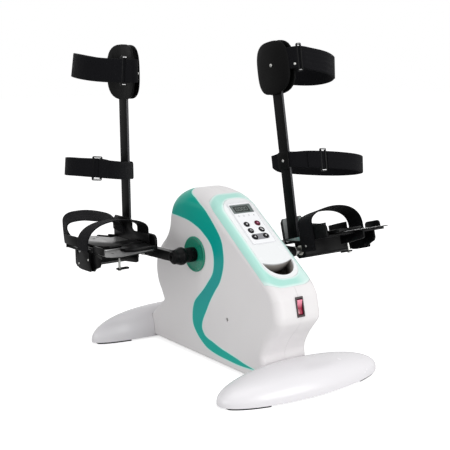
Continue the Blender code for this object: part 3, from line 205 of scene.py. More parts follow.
BAND_FRONT = [(90, 300), (72, 287), (60.7, 276.5), (41, 269.5), (24.5, 262), (7.6, 253.5),
              (-12, 237.5), (-28, 222), (-37, 209.5), (-41.5, 193), (-42.8, 178), (-40.6, 163),
              (-32.5, 142), (-19.5, 125), (-6, 106), (6, 85), (14.5, 70), (18.2, 57), (15, 48.5),
              (6, 41), (-14.7, 36.2), (-35, 31.6), (-61, 28), (-85.5, 24.5), (-98, 22.5),
              (-125.5, 19.5)]
BAND_REAR = [(150, 240), (109.5, 236), (80.8, 233.8), (62, 231.8), (45.6, 228.3),
             (25.1, 221.6), (10.7, 213.6), (-1.8, 205.4), (-10.3, 196), (-14.6, 185),
             (-16.2, 173), (-14.4, 158), (-9.2, 147), (1.1, 134.7), (11.6, 122.5),
             (25.6, 109.2), (38, 96.8), (43.5, 85), (45.6, 73.5), (45.7, 63), (43, 53.3),
             (36.3, 44.5), (27, 36.2), (15, 28.6), (0.3, 22.3), (-24.5, 18.4), (-57.4, 16.9),
             (-86, 16.5), (-125.5, 19.2)]
BAND_OUTLINE_MM = 1.5


def curve_through(before, here, after, later, t):
    """Catmull-Rom piece between here and after, at the shares t along it."""
    t = np.asarray(t)[:, None]
    before, here, after, later = (np.asarray(p, float) for p in (before, here, after, later))
    bend = (2 * before - 5 * here + 4 * after - later) * t ** 2
    return (2 * here + (after - before) * t + bend
            + (3 * here - before - 3 * after + later) * t ** 3) / 2


def open_curve(points, steps):
    """Smooth curve through a list of points, steps samples to each gap."""
    p = np.array(points, float)
    p = np.vstack([2 * p[0] - p[1], p, 2 * p[-1] - p[-2]])
    t = np.arange(steps) / steps
    parts = [curve_through(*p[i:i + 4], t) for i in range(len(p) - 3)]
    return np.vstack(parts + [p[-2:-1]])


def side_outline():
    """The housing's side outline, smooth except at its corners: y, z and edge radius."""
    rows = []
    count = len(SIDE_OUTLINE)
    for i in range(count):
        a, b, c, d = (SIDE_OUTLINE[(i + k) % count] for k in (-1, 0, 1, 2))
        length = math.hypot(c[0] - b[0], c[1] - b[1])
        steps = max(1, round(length / OUTLINE_SPACING))
        t = np.arange(steps) / steps
        if b[3] and c[3]:
            rows.append(np.array(b[:3]) + (np.array(c[:3]) - np.array(b[:3])) * t[:, None])
        else:
            a = b if b[3] else a
            d = c if c[3] else d
            rows.append(curve_through(a[:3], b[:3], c[:3], d[:3], t))
    return np.vstack(rows)


def outward(points):
    """Outward unit vectors of a closed outline, averaged over five neighbours."""
    along = np.roll(points, -1, 0) - np.roll(points, 1, 0)
    normals = np.stack([-along[:, 1], along[:, 0]], 1)
    normals /= np.linalg.norm(normals, axis=1)[:, None]
    smooth = sum(w * np.roll(normals, k, 0) for k, w in zip((-2, -1, 0, 1, 2), (1, 2, 3, 2, 1)))
    return smooth / np.linalg.norm(smooth, axis=1)[:, None]


def distance_to(points, polygon):
    """Distance from each point to a closed outline, negative inside it."""
    nearest = np.full(len(points), 1e9)
    inside = np.zeros(len(points), bool)
    for a, b in zip(polygon, np.roll(polygon, -1, 0)):
        edge = b - a
        reach = points - a
        share = np.clip(reach @ edge / max(edge @ edge, 1e-12), 0, 1)[:, None]
        nearest = np.minimum(nearest, np.linalg.norm(reach - share * edge, axis=1))
        crosses = (a[1] > points[:, 1]) != (b[1] > points[:, 1])
        rise = b[1] - a[1] if b[1] != a[1] else 1e-12
        inside ^= crosses & (points[:, 0] < a[0] + (points[:, 1] - a[1]) / rise * edge[0])
    return np.where(inside, -nearest, nearest)


def solid(name, verts, faces):
    """Closed mesh object with doubles merged and its faces turned outwards."""
    mesh = bpy.data.meshes.new(name)
    mesh.from_pydata(np.asarray(verts, float).reshape(-1, 3).tolist(), [], faces)
    work = bmesh.new()
    work.from_mesh(mesh)
    bmesh.ops.remove_doubles(work, verts=work.verts, dist=1e-6)
    bmesh.ops.recalc_face_normals(work, faces=work.faces)
    work.to_mesh(mesh)
    work.free()
    return added(name, mesh)


def grid_faces(rows, columns, wrap_rows=False):
    """Four-cornered faces of a grid of points, row by row, whose rows are closed loops."""
    i, j = np.meshgrid(np.arange(rows if wrap_rows else rows - 1), np.arange(columns),
                       indexing="ij")
    i, j = i.ravel(), j.ravel()
    corners = ((i, j), (i + 1, j), (i + 1, j + 1), (i, j + 1))
    return np.stack([(a % rows) * columns + b % columns for a, b in corners], 1).tolist()


def capped_faces(rows, columns):
    """Faces of a stack of closed rows, with a cap over the first and the last one."""
    last = (rows - 1) * columns
    return grid_faces(rows, columns) + [list(range(columns)), list(range(last, last + columns))]


def housing_body(name, low_x, high_x, grow=0.0, spacing=0.012):
    """Closed body between two x planes inside the housing's outer surface.

    Each edge row is the outline drawn in by radius * (1 - sin a), at x = half - radius *
    (1 - cos a), for a from 0 at the flank to a right angle at the rim.
    """
    rows = side_outline()
    points, radius = rows[:, :2], rows[:, 2:3]
    normals = outward(points)
    rings = []
    for a in np.linspace(0, math.pi / 2, EDGE_ROWS + 1):
        edge = points - normals * (radius * (1 - math.sin(a)) - grow)
        x = HOUSING_HALF + grow - radius * (1 - math.cos(a))
        rings.append(np.hstack([x, edge]))
    left = [ring * (-1, 1, 1) for ring in rings] if low_x < -HOUSING_HALF else []
    right = rings[::-1] if high_x > HOUSING_HALF else []
    if not left:
        left = [np.hstack([np.full_like(radius, low_x), rings[-1][:, 1:]])]
    if not right:
        right = [np.hstack([np.full_like(radius, high_x), rings[-1][:, 1:]])]
    layers = np.array(left + right)
    count = len(points)
    verts = layers.reshape(-1, 3)
    faces = grid_faces(len(layers), count)
    for rim in (layers[0], layers[-1]):
        low, high = rim[:, 1:].min(0), rim[:, 1:].max(0)
        grid = np.stack(np.meshgrid(np.arange(low[0], high[0], spacing),
                                    np.arange(low[1], high[1], spacing)), -1).reshape(-1, 2)
        grid = grid[distance_to(grid, rim[:, 1:]) < -spacing * 0.5]
        flat = np.vstack([rim[:, 1:], grid])
        found = delaunay_2d_cdt(flat.tolist(), [], [list(range(count))], 1, 1e-7)
        start = len(verts)
        new = np.array([tuple(p) for p in found[0]])
        verts = np.vstack([verts, np.hstack([np.full((len(new), 1), rim[0, 0]), new])])
        faces += [[start + k for k in face] for face in found[2]]
    return solid(name, verts, faces)


def view_frame(first, second):
    """Place, across, up and outward directions of a flat stretch of the side outline."""
    start = np.array([0.0, *SIDE_OUTLINE[first][:2]])
    up = np.array([0.0, *SIDE_OUTLINE[second][:2]]) - start
    up = up / np.linalg.norm(up)
    across = np.array([1.0, 0.0, 0.0])
    return start, across, up, np.cross(across, up)


def placed(view, points, height):
    """Points drawn on a flat view, at a height above it, in the frame of the bike."""
    start, across, up, out = view
    points = np.asarray(points, float)
    height = np.broadcast_to(height, len(points))[:, None]
    return start + points[:, :1] * across + points[:, 1:2] * up + height * out


def prism(name, view, outline, low, high):
    """Closed block over an outline; low may differ from point to point."""
    verts = np.vstack([placed(view, outline, low), placed(view, outline, high)])
    return solid(name, verts, capped_faces(2, len(outline)))


def rounded_rectangle(half_width, low, high, radius, steps=6):
    """Outline of a rectangle centred across, with round corners."""
    turn = np.linspace(0, math.pi / 2, steps + 1)
    parts = []
    for i, (x, y) in enumerate(((1, 1), (-1, 1), (-1, -1), (1, -1))):
        centre = (x * (half_width - radius), (high if y > 0 else low) - y * radius)
        angle = turn + i * math.pi / 2
        parts.append(np.stack([centre[0] + radius * np.cos(angle),
                               centre[1] + radius * np.sin(angle)], 1))
    return np.vstack(parts)


def carve(piece, tool, operation="DIFFERENCE"):
    """Cuts a tool out of a piece, or keeps only what lies in the tool, and removes the tool."""
    modifier = piece.modifiers.new("carve", "BOOLEAN")
    modifier.operation = operation
    modifier.solver = "EXACT"
    modifier.object = tool
    return apply_modifiers(piece, tool)


def cut(piece, view, outline, low, high):
    """Cuts a hole of the given outline out of a piece, from low to high over a view."""
    return carve(piece, prism("cut", view, outline, low, high))


def apply_modifiers(piece, *tools):
    """Replaces a piece's mesh by its finished shape."""
    graph = bpy.context.evaluated_depsgraph_get()
    mesh = bpy.data.meshes.new_from_object(piece.evaluated_get(graph))
    piece.modifiers.clear()
    piece.data = mesh
    for tool in tools:
        bpy.data.objects.remove(tool)
    return piece


def fit(piece, material, body, slot, *nodes, sharp=35.0):
    """Gives a piece its finish and its body, and hides the CAD nodes that it stands for."""
    piece.data.materials.clear()
    piece.data.materials.append(material)
    piece.data.shade_smooth()
    piece.data.set_sharp_from_angle(angle=math.radians(sharp))
    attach(piece, body)
    if nodes:
        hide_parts(*nodes)
    return piece


def noise(owner, scale, detail=2.0):
    """Noise in object space, with scale grains to the metre."""
    place = node(owner, "TexCoord")
    return node(owner, "TexNoise", None, {"Vector": (place, "Object"), "Scale": scale,
                                          "Detail": detail}), 0


def bump(owner, height, distance):
    """Bump that raises the surface by distance, in metres, where height is 1."""
    return node(owner, "Bump", None, {"Height": height, "Strength": 1.0,
                                      "Distance": distance}), 0


def grain_bump(owner, size_mm, depth_mm):
    """Bump of a moulded or sprayed surface: noise with the given grain."""
    return bump(owner, noise(owner, 1000.0 / size_mm), depth_mm / 1000)


def moulded(name, colour, roughness, grain_mm=1.2, depth_mm=0.004, spread=0.03, specular=0.5,
            **settings):
    """Moulded plastic: one colour that drifts a little, fine grain and uneven gloss."""
    made = new_material(name)
    cloud = noise(made, 28.0, 3.0)
    gloss = ranged(made, cloud, 0.3, 0.7, roughness * 0.85, roughness * 1.15)
    tint = mixed(made, cloud, darker(colour, 1 - spread), linear(colour))
    settings["Specular IOR Level"] = specular
    return painted(made, tint, gloss, grain_bump(made, grain_mm, depth_mm), **settings)


def printed_shell():
    """Glossy white ABS with the teal band, from the attribute band: millimetres to its edge."""
    made = new_material("white_abs_with_band")
    white = mixed(made, noise(made, 14.0), linear("#E3E0E1"), linear("#E9E7E7"))
    place = node(made, "TexCoord")
    height = node(made, "SeparateXYZ", None, {"Vector": (place, "Object")})
    teal = node(made, "ValToRGB", None, {"Fac": ranged(made, (height, "Z"), 0.0, 0.29)})
    stops = ((0.05, "#0CB0A0"), (0.22, "#04A89E"), (0.42, "#009E9A"), (0.62, "#009F98"),
             (0.95, "#00A894"))
    while len(teal.color_ramp.elements) < len(stops):
        teal.color_ramp.elements.new(0.5)
    for element, (position, colour) in zip(teal.color_ramp.elements, stops):
        element.position = position
        element.color = linear(colour)
    edge = node(made, "Attribute", {"attribute_name": "band"}), "Fac"
    in_outline = ranged(made, edge, BAND_OUTLINE_MM + 0.15, BAND_OUTLINE_MM - 0.15)
    in_band = ranged(made, edge, 0.12, -0.12)
    lined = mixed(made, in_outline, white, linear("#BDEFE6"))
    return painted(made, mixed(made, in_band, lined, (teal, 0)), 0.30,
                   grain_bump(made, 1.6, 0.003), **{"IOR": 1.50, "Specular IOR Level": 0.28})


console = view_frame(9, 10)
switch_face = view_frame(6, 7)
switch_face = (placed(switch_face, [(0.0, 0.0146)], 0.0)[0], *switch_face[1:])
RING_HALF, RING_LOW, RING_HIGH, RING_CORNER = 0.048, -0.0175, 0.192, 0.030
RING_DEPTH, RING_DEEPER = 0.0075, 0.0065
PLATE_HALF, PLATE_LOW, PLATE_HIGH, PLATE_CORNER = 0.0315, -0.0010, 0.1745, 0.026
SWITCH_HALF_WIDTH, SWITCH_HALF_HEIGHT = 0.0074, 0.0157
# Place of the screw that closes the shells, as y and z on the flank
FLANK_SCREW = (-0.0525, 0.0842)


def ring_outline(extra=0.0):
    return rounded_rectangle(RING_HALF + extra, RING_LOW - extra, RING_HIGH + extra, RING_CORNER)


def ring_depth(outline):
    """The ring is thicker towards the top, where the housing's edge is rounder."""
    return -(RING_DEPTH + RING_DEEPER * np.clip(outline[:, 1] / RING_HIGH, 0, 1))


CUP_RADIUS, CUP_TOP, CUP_SAG = 0.029, 0.0345, 0.006


def cup_outline(extra=0.0):
    """Half moon of the hand hole: a round lower edge and a sagging upper edge."""
    radius = CUP_RADIUS + extra
    t = np.linspace(math.pi, 2 * math.pi, 25)
    low = np.stack([radius * np.cos(t), CUP_TOP + radius * np.sin(t)], 1)
    share = np.linspace(1, -1, 13)[1:-1]
    high = np.stack([radius * share, CUP_TOP + extra - CUP_SAG * (1 - share ** 2)], 1)
    return np.vstack([low, high])


def circle(radius, centre=(0.0, 0.0), steps=48):
    """Points of a circle, anticlockwise."""
    t = np.arange(steps) / steps * 2 * math.pi
    return np.stack([centre[0] + radius * np.cos(t), centre[1] + radius * np.sin(t)], 1)


def side_view(side, centre):
    """View on a flank: heights run outwards from the middle plane."""
    return (np.array([0.0, *centre]), np.array([0.0, 1.0, 0.0]), np.array([0.0, 0.0, 1.0]),
            np.array([side, 0.0, 0.0]))


white_abs = printed_shell()
for name, side in (("left", -1.0), ("right", 1.0)):
    ends = sorted((side * SEAM, side * 0.1))
    shell = housing_body("shell_" + name, *ends, spacing=FLANK_SPACING)
    opening = ring_outline(CLEARANCE)
    cut(shell, console, opening, ring_depth(opening) - CLEARANCE, 0.05)
    cut(shell, console, cup_outline(0.0023), -0.035, 0.03)
    slot_hole = rounded_rectangle(SWITCH_HALF_WIDTH - 0.0007, -SWITCH_HALF_HEIGHT + 0.0007,
                                  SWITCH_HALF_HEIGHT - 0.0007, 0.0004)
    cut(shell, switch_face, slot_hole, -0.03, 0.01)
    screw_hole = circle(0.0034, steps=32)
    cut(shell, side_view(side, FLANK_SCREW), screw_hole, HOUSING_HALF - 0.0026, 0.06)
    fit(shell, white_abs, "housing", "white_shell", name + "_shell")
    place = np.empty(len(shell.data.vertices) * 3)
    shell.data.vertices.foreach_get("co", place)
    band_edge = np.vstack([open_curve(BAND_FRONT, 8), open_curve(BAND_REAR, 8)[::-1]])
    edge = distance_to(place.reshape(-1, 3)[:, 1:] * 1000, band_edge)
    shell.data.attributes.new("band", "FLOAT", "POINT").data.foreach_set("value", edge)


# Console ring and plate
# The ring is a mint ABS moulding let into the shells, flush with their curved surface. The
# plate inside it is glossy white ABS with windows for display and keys and the hand hole.


def edge_distance(owner, place, half, low, high, corner):
    """Distance in metres to a rounded rectangle, negative inside: the length of
    max(|p| - half size + corner, 0), less the corner, plus the part inside."""
    centred = vector_maths(owner, "SUBTRACT", place, (0.0, (low + high) / 2, 0.0))
    over = vector_maths(owner, "SUBTRACT", vector_maths(owner, "ABSOLUTE", centred),
                        (half - corner, (high - low) / 2 - corner, 0.0))
    beyond = vector_maths(owner, "MAXIMUM", over)
    reach = vector_maths(owner, "LENGTH", beyond, output="Value")
    parts = node(owner, "SeparateXYZ", None, {0: over})
    within = maths(owner, "MINIMUM", maths(owner, "MAXIMUM", (parts, "X"), (parts, "Y")), 0.0)
    return maths(owner, "SUBTRACT", maths(owner, "ADD", reach, within), corner)


def ring_tint_with_painted_highlight():
    """Mint ABS, paler along both edges and, as a painted highlight, on the far long side."""
    made = new_material("mint_abs")
    place = node(made, "TexCoord"), "Object"
    start, across, up, out = console
    level = vector_maths(made, "DOT_PRODUCT", place, tuple(up), output="Value")
    height = maths(made, "SUBTRACT", level, float(start @ up))
    axes = node(made, "SeparateXYZ", None, {0: place})
    flat = node(made, "CombineXYZ", None, {0: (axes, "X"), 1: height}), 0
    rim = edge_distance(made, flat, RING_HALF, RING_LOW, RING_HIGH, RING_CORNER)
    hole = edge_distance(made, flat, PLATE_HALF, PLATE_LOW, PLATE_HIGH, PLATE_CORNER)
    inner = maths(made, "MULTIPLY", ranged(made, rim, 0.0, -0.0060, curve="SMOOTHSTEP"),
                  ranged(made, hole, 0.0, 0.0050, curve="SMOOTHSTEP"))
    # Painted reflection of the white room: the mint fades towards white on the far long side.
    far = ranged(made, (axes, "X"), 0.008, 0.030, 1.0, 0.35, "SMOOTHSTEP")
    tint = mixed(made, maths(made, "MULTIPLY", inner, far), linear("#DCEFEB"),
                 linear("#ABDDD2"))
    return painted(made, tint, 0.30, grain_bump(made, 1.6, 0.003), IOR=1.50)


mint_abs = ring_tint_with_painted_highlight()
plate_abs = moulded("white_console_abs", "#EBEDEE", 0.26, 1.6, 0.002, spread=0.02, IOR=1.5)
KEY_RADIUS = 0.0052
KEY_COLUMN = 0.0108
KEYS = {"start": (-1, 0.1145), "stop": (1, 0.1145), "time": (-1, 0.1005),
        "reverse": (1, 0.1005), "slower": (-1, 0.0868), "faster": (1, 0.0868)}
LCD_HALF_WIDTH, LCD_HALF_HEIGHT, LCD_CENTRE = 0.0205, 0.0095, 0.149

mint_ring = housing_body("mint_ring", -0.1, 0.1)
outline = ring_outline()
carve(mint_ring, prism("cut", console, outline, ring_depth(outline), 0.05), "INTERSECT")
hole = rounded_rectangle(PLATE_HALF + CLEARANCE, PLATE_LOW - CLEARANCE, PLATE_HIGH + CLEARANCE,
                         PLATE_CORNER, 12)
cut(mint_ring, console, hole, -0.04, 0.06)
fit(mint_ring, mint_abs, "housing", "mint_plastic", "console_surround")

plate = housing_body("console_plate", -0.1, 0.1)
outline = rounded_rectangle(PLATE_HALF, PLATE_LOW, PLATE_HIGH, PLATE_CORNER, 12)
carve(plate, prism("cut", console, outline, -0.003, 0.05), "INTERSECT")
cut(plate, console, cup_outline(), -0.03, 0.03)
window = rounded_rectangle(LCD_HALF_WIDTH + CLEARANCE, LCD_CENTRE - LCD_HALF_HEIGHT - CLEARANCE,
                           LCD_CENTRE + LCD_HALF_HEIGHT + CLEARANCE, 0.0005)
cut(plate, console, window, -0.03, 0.03)
for column, row in KEYS.values():
    hole = circle(KEY_RADIUS + CLEARANCE, (column * KEY_COLUMN, row))
    cut(plate, console, hole, -0.03, 0.03)
fit(plate, plate_abs, "housing", "white_panel", "console_panel")


# Key label and its print
# A white polycarbonate sheet glued on the plate. Grey print: a thin frame line, four small
# signs under the display and a grey capsule behind the two speed keys.
label_film = moulded("white_label_film", "#F1F2F4", 0.35, 0.9, 0.002, spread=0.01)


def refinish(node_name, material):
    """Gives a CAD node that keeps its own shape its finish."""
    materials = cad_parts[node_name].data.materials
    materials.clear()
    materials.append(material)


refinish("label_sheet", label_film)
grey_ink = moulded("grey_ink", "#B3B3B8", 0.5, 0.5, 0.001)
capsule_ink = moulded("dark_grey_ink", "#85858A", 0.5, 0.5, 0.001)
white_ink = moulded("white_ink", "#DCDCDC", 0.5, 0.5, 0.001)
LABEL_TOP = 0.0008
INK = 0.00004


def printed(name, view, height, outlines, material, body="housing", slot="white_panel"):
    """Print as thin flat blocks; each entry is an outline, or an outer and an inner one."""
    verts = []
    faces = []
    for outline in outlines:
        start = sum(len(v) for v in verts)
        outer, inner = outline if isinstance(outline, tuple) else (outline, None)
        count = len(outer)
        rings = [placed(view, outer, height), placed(view, outer, height + INK)]
        if inner is None:
            local = capped_faces(2, count)
        else:
            rings += [placed(view, inner, height + INK), placed(view, inner, height)]
            local = grid_faces(4, count, wrap_rows=True)
        verts.append(np.vstack(rings))
        faces += [[start + k for k in face] for face in local]
    return fit(solid(name, np.vstack(verts), faces), material, body, slot)


def rectangle(x0, x1, y0, y1):
    return np.array([(x0, y0), (x1, y0), (x1, y1), (x0, y1)])


frame_line = (rounded_rectangle(0.0228, 0.0722, 0.1628, 0.0024),
              rounded_rectangle(0.0223, 0.0727, 0.1623, 0.0019))
signs = [frame_line,
         (circle(0.0017, (-0.0150, 0.1335), 20), circle(0.0011, (-0.0150, 0.1335), 20)),
         rectangle(-0.0064, -0.0056, 0.1315, 0.1353), rectangle(-0.0048, -0.0040, 0.1315, 0.1341),
         rectangle(0.0038, 0.0066, 0.1319, 0.1325), rectangle(0.0038, 0.0066, 0.1331, 0.1337),
         rectangle(0.0038, 0.0066, 0.1343, 0.1349),
         np.array([(0.0134, 0.1317), (0.0166, 0.1317), (0.0150, 0.1349)])]
printed("label_print", console, LABEL_TOP, signs, grey_ink)
capsule = rounded_rectangle(0.0172, 0.0806, 0.0930, 0.0060, 10)
holes = [circle(KEY_RADIUS + 0.0004, (s * KEY_COLUMN, 0.0868)) for s in (-1, 1)]
capsule_piece = printed("key_capsule", console, LABEL_TOP, [capsule], capsule_ink)
for hole in holes:
    cut(capsule_piece, console, hole, -0.01, 0.01)


# Display
# A reflective liquid crystal display: green-grey glass, a darker window and pale digits.
# The seven-segment zeros stand for any number that the machine shows.
lcd_glass = moulded("lcd_glass", "#687270", 0.16, 3.0, 0.0005)
lcd_window = moulded("lcd_window", "#262D2A", 0.14, 3.0, 0.0005)
lcd_digit = moulded("lcd_digit", "#7F8B86", 0.3, 3.0, 0.0005)
glass = prism("lcd_glass", console,
              rounded_rectangle(LCD_HALF_WIDTH, LCD_CENTRE - LCD_HALF_HEIGHT,
                                LCD_CENTRE + LCD_HALF_HEIGHT, 0.0004), -0.0058, -0.0002)
fit(glass, lcd_glass, "housing", "display_glass", "lcd_display")
printed("lcd_window", console, -0.0002,
        [rounded_rectangle(0.0150, LCD_CENTRE - 0.0062, LCD_CENTRE + 0.0070, 0.0004)],
        lcd_window, slot="display_glass")
DIGIT_HALF_WIDTH, DIGIT_HALF_HEIGHT, DIGIT_STROKE, DIGIT_GAP = 0.0016, 0.0036, 0.0006, 0.0001


def digit(x, y, lit):
    """The lit bars of a seven-segment digit: top, two upper, middle, two lower, bottom."""
    w, h, s, gap = DIGIT_HALF_WIDTH, DIGIT_HALF_HEIGHT, DIGIT_STROKE, DIGIT_GAP
    bars = {"t": (gap - w, w - gap, h - s, h), "b": (gap - w, w - gap, -h, -h + s),
            "m": (gap - w, w - gap, -s / 2, s / 2), "ul": (-w - s, -w, gap, h),
            "ur": (w, w + s, gap, h), "ll": (-w - s, -w, -h, -gap), "lr": (w, w + s, -h, -gap)}
    return [rectangle(x + bars[k][0], x + bars[k][1], y + bars[k][2], y + bars[k][3]) for k in lit]


bars = []
for x in (-0.0093, -0.0034, 0.0034, 0.0093):
    bars += digit(x, LCD_CENTRE + 0.0003, ("t", "b", "ul", "ur", "ll", "lr"))
bars += [rectangle(-0.0004, 0.0004, LCD_CENTRE + y, LCD_CENTRE + y + 0.0009)
         for y in (-0.0012, 0.0012)]
printed("lcd_digits", console, -0.0002 + INK * 1.5, bars, lcd_digit, slot="display_glass")


# Keys
# Six round silicone rubber keys, a little domed, in a black or dark red compound. A pale
# sign is printed on each: a triangle, a square, a dial hand, two arrows and an arrow each way.
key_black = moulded("black_silicone", "#0E0E11", 0.5, 0.5, 0.004, specular=0.15)
key_red = moulded("dark_red_silicone", "#4C0E20", 0.5, 0.5, 0.004, specular=0.15)
KEY_TOP = 0.0019


def turned(name, view, profile, centre=(0.0, 0.0), steps=48):
    """Turned piece whose axis stands on a view at centre. Its profile is radius and height;
    it starts and ends at radius 0, or closes on itself."""
    loops = [placed(view, circle(radius, steps=steps) + centre, height)
             for radius, height in profile]
    verts = np.vstack(loops)
    closed = profile[0][0] > 1e-9
    return solid(name, verts, grid_faces(len(profile), steps, wrap_rows=closed))


KEY_EDGE, KEY_BOTTOM = 0.0007, -0.0043
key_profile = [(0.0, KEY_BOTTOM), (KEY_RADIUS, KEY_BOTTOM), (KEY_RADIUS, KEY_TOP - KEY_EDGE)]
for a in np.linspace(0.2, math.pi / 2, 7):
    key_profile.append((KEY_RADIUS - KEY_EDGE * (1 - math.cos(a)),
                        KEY_TOP - KEY_EDGE * (1 - math.sin(a))))
key_profile += [(KEY_RADIUS * 0.6, KEY_TOP + 0.00010), (KEY_RADIUS * 0.3, KEY_TOP + 0.00016),
                (0.0, KEY_TOP + 0.00018)]


def arrow(x, y, way):
    size = 0.0019
    return np.array([(x + way * size, y), (x - way * size * 0.7, y + size),
                     (x - way * size * 0.7, y - size)])


for name, (column, row) in KEYS.items():
    x = column * KEY_COLUMN
    body = name + "_button"
    key = turned("key_" + name, console, key_profile, (x, row))
    fit(key, key_red if name == "stop" else key_black, body,
        "red_rubber" if name == "stop" else "black_rubber", "button_" + name)
    marks = {"start": [arrow(x + 0.0002, row, 1)],
             "stop": [rectangle(x - 0.0015, x + 0.0015, row - 0.0015, row + 0.0015)],
             "time": [(circle(0.0020, (x, row), 24), circle(0.0015, (x, row), 24)),
                      rectangle(x - 0.0002, x + 0.0002, row, row + 0.0014)],
             "reverse": [arrow(x - 0.0010, row + 0.0012, -1),
                         arrow(x + 0.0010, row - 0.0012, 1)],
             "slower": [arrow(x - 0.0002, row, -1)], "faster": [arrow(x + 0.0002, row, 1)]}[name]
    ink = moulded("red_key_ink", "#B06A86", 0.5, 0.5, 0.001) if name == "stop" else white_ink
    printed("sign_" + name, console, KEY_TOP + 0.00017, marks, ink, body, "black_rubber")


# Hand hole
# A deep half-moon cup under the plate's lower end, moulded in pale grey plastic, where a hand
# grips the housing to carry it. Its colour darkens towards its floor as painted shade.
def graded(name, view, axis, low, high, colours, roughness, grain_mm, depth_mm, **settings):
    """Plastic whose colour changes along one direction of a view, from low to high."""
    made = new_material(name)
    place = node(made, "TexCoord"), "Object"
    level = vector_maths(made, "DOT_PRODUCT", place, tuple(view[axis]), output="Value")
    zero = float(view[0] @ view[axis])
    tint = mixed(made, ranged(made, level, zero + low, zero + high), *map(linear, colours))
    return painted(made, tint, roughness, grain_bump(made, grain_mm, depth_mm), **settings)


# Painted shade: the grey turns nearly black towards the cup's floor.
cup_grey_painted_shade = graded("cup_abs_painted_shade", console, 3, -0.021, -0.005, ("#1D1612", "#ADA7A2"), 0.32, 1.2,
                  0.004)
outer, inner = cup_outline(0.002), cup_outline(0.0)
centre = inner.mean(0)
cup_rings = [(outer, -0.0266), (outer, -0.0028), (inner, -0.0028), (inner, -0.0180)]
for share, level in ((0.96, -0.0215), (0.86, -0.0240), (0.70, -0.0250)):
    cup_rings.append((centre + (inner - centre) * share, level))
cup = solid("hand_cup", np.vstack([placed(console, *ring) for ring in cup_rings]),
            capped_faces(len(cup_rings), len(inner)))
fit(cup, cup_grey_painted_shade, "housing", "white_shell", "handle_cup")


# Mains switch
# A lit rocker of clear red polycarbonate in a dark nylon bezel, pressed into the nose.
# Its upper half stands out, so the switch is on, and catches the light: its red is painted
# paler pink towards the top as a painted highlight.
bezel_nylon = moulded("dark_nylon_bezel", "#38292C", 0.38, 0.8, 0.006)
# Painted highlight: the red turns pale pink towards the rocker's top.
rocker_red_painted_highlight = graded("red_rocker_lens_painted_highlight", switch_face, 2, -0.0015, 0.0060, ("#A01C3E", "#F08CA4"),
                    0.14, 1.0, 0.002,
                    **{"IOR": 1.58, "Coat Weight": 0.5, "Coat Roughness": 0.05})
# Rings of the bezel as half sizes, growth, corner radius and height
RIM, POCKET = (SWITCH_HALF_WIDTH, SWITCH_HALF_HEIGHT), (0.0054, 0.0125)
BEZEL_RINGS = [(RIM, -0.001, 0.0004, -0.016), (RIM, -0.001, 0.0004, 0.0003),
               (RIM, 0.0, 0.0009, 0.0003), (RIM, 0.0, 0.0009, 0.0013),
               (RIM, -0.0004, 0.0008, 0.0019), (POCKET, 0.0003, 0.0006, 0.0019),
               (POCKET, 0.0, 0.0005, 0.0016), (POCKET, 0.0, 0.0005, -0.0095)]
ROCKER_LEAN = math.radians(7.0)
ROCKER_HALF_WIDTH, ROCKER_HALF_LENGTH, ROCKER_BOTTOM = 0.0050, 0.0112, -0.0026
ROCKER_SINK = 0.0028

bezel_loops = [placed(switch_face, rounded_rectangle(w + grow, -(h + grow), h + grow, radius, 5),
                      level) for (w, h), grow, radius, level in BEZEL_RINGS]
bezel = solid("switch_bezel", np.vstack(bezel_loops),
              capped_faces(len(bezel_loops), len(bezel_loops[0])))
fit(bezel, bezel_nylon, "housing", "black_plastic", "switch_body")


def rocker_grid():
    """Rocker: a dished bar, its top hollowed along its length, with rounded edges."""
    rows = ((0.0, 0.0), (0.9, 0.0), (0.97, 0.0001), (1.0, 0.0005), (1.0, 0.0060))
    sections = []
    for s in np.linspace(-1, 1, 25):
        edge = min(1.0, (1 - abs(s)) / 0.06)
        height = 0.0026 + 0.0014 * s ** 2 - 0.0005 * (1 - edge) ** 2
        side = [(-ROCKER_HALF_WIDTH * a, max(height - d, ROCKER_BOTTOM)) for a, d in rows[::-1]]
        side += [(ROCKER_HALF_WIDTH * a, max(height - d, ROCKER_BOTTOM)) for a, d in rows[1:]]
        sections.append([(x, s * ROCKER_HALF_LENGTH, z) for x, z in side])
    return np.array(sections)


grid = rocker_grid()
lean_cos, lean_sin = math.cos(ROCKER_LEAN), math.sin(ROCKER_LEAN)
along = grid[..., 1] * lean_cos - grid[..., 2] * lean_sin
above = grid[..., 1] * lean_sin + grid[..., 2] * lean_cos
flat = np.stack([grid[..., 0], along, above - ROCKER_SINK], -1).reshape(-1, 3)
rocker = solid("rocker_lens", placed(switch_face, flat[:, :2], flat[:, 2]),
               capped_faces(*grid.shape[:2]))
fit(rocker, rocker_red_painted_highlight, "rocker", "red_plastic", "switch_rocker")


# Cross feet
# Two long hollow ABS domes over the steel cross bars, glossy white, cut to hug the housing.
# Rubber pads under their ends carry the machine.
foot_abs = moulded("white_foot_abs", "#E8E6E9", 0.24, 1.6, 0.003, spread=0.02, IOR=1.5)
pad_rubber = moulded("pad_rubber", "#1A1A1B", 0.8, 0.8, 0.03)
FOOT_STEPS = 128
FOOT_ROWS = 28


def dome(name, centre_y, half, depth, bottom, rim, top):
    """Dome on an ellipse: level = rim + rise * sqrt(1 - share ** 2.6) over each share."""
    t = np.arange(FOOT_STEPS) / FOOT_STEPS * 2 * math.pi
    shares = np.concatenate([[1.0, 1.0], np.cos(np.linspace(0, math.pi / 2, FOOT_ROWS)[1:])])
    levels = np.concatenate([[bottom], [rim], rim + (top - rim)
                             * np.sqrt(1 - np.clip(shares[2:], 0, 1) ** 2.6)])
    x = half * shares[:, None] * np.cos(t)
    y = centre_y + depth * shares[:, None] * np.sin(t)
    z = np.repeat(levels[:, None], FOOT_STEPS, 1)
    faces = grid_faces(len(shares), FOOT_STEPS) + [list(range(FOOT_STEPS))]
    return solid(name, np.stack([x, y, z], -1), faces)


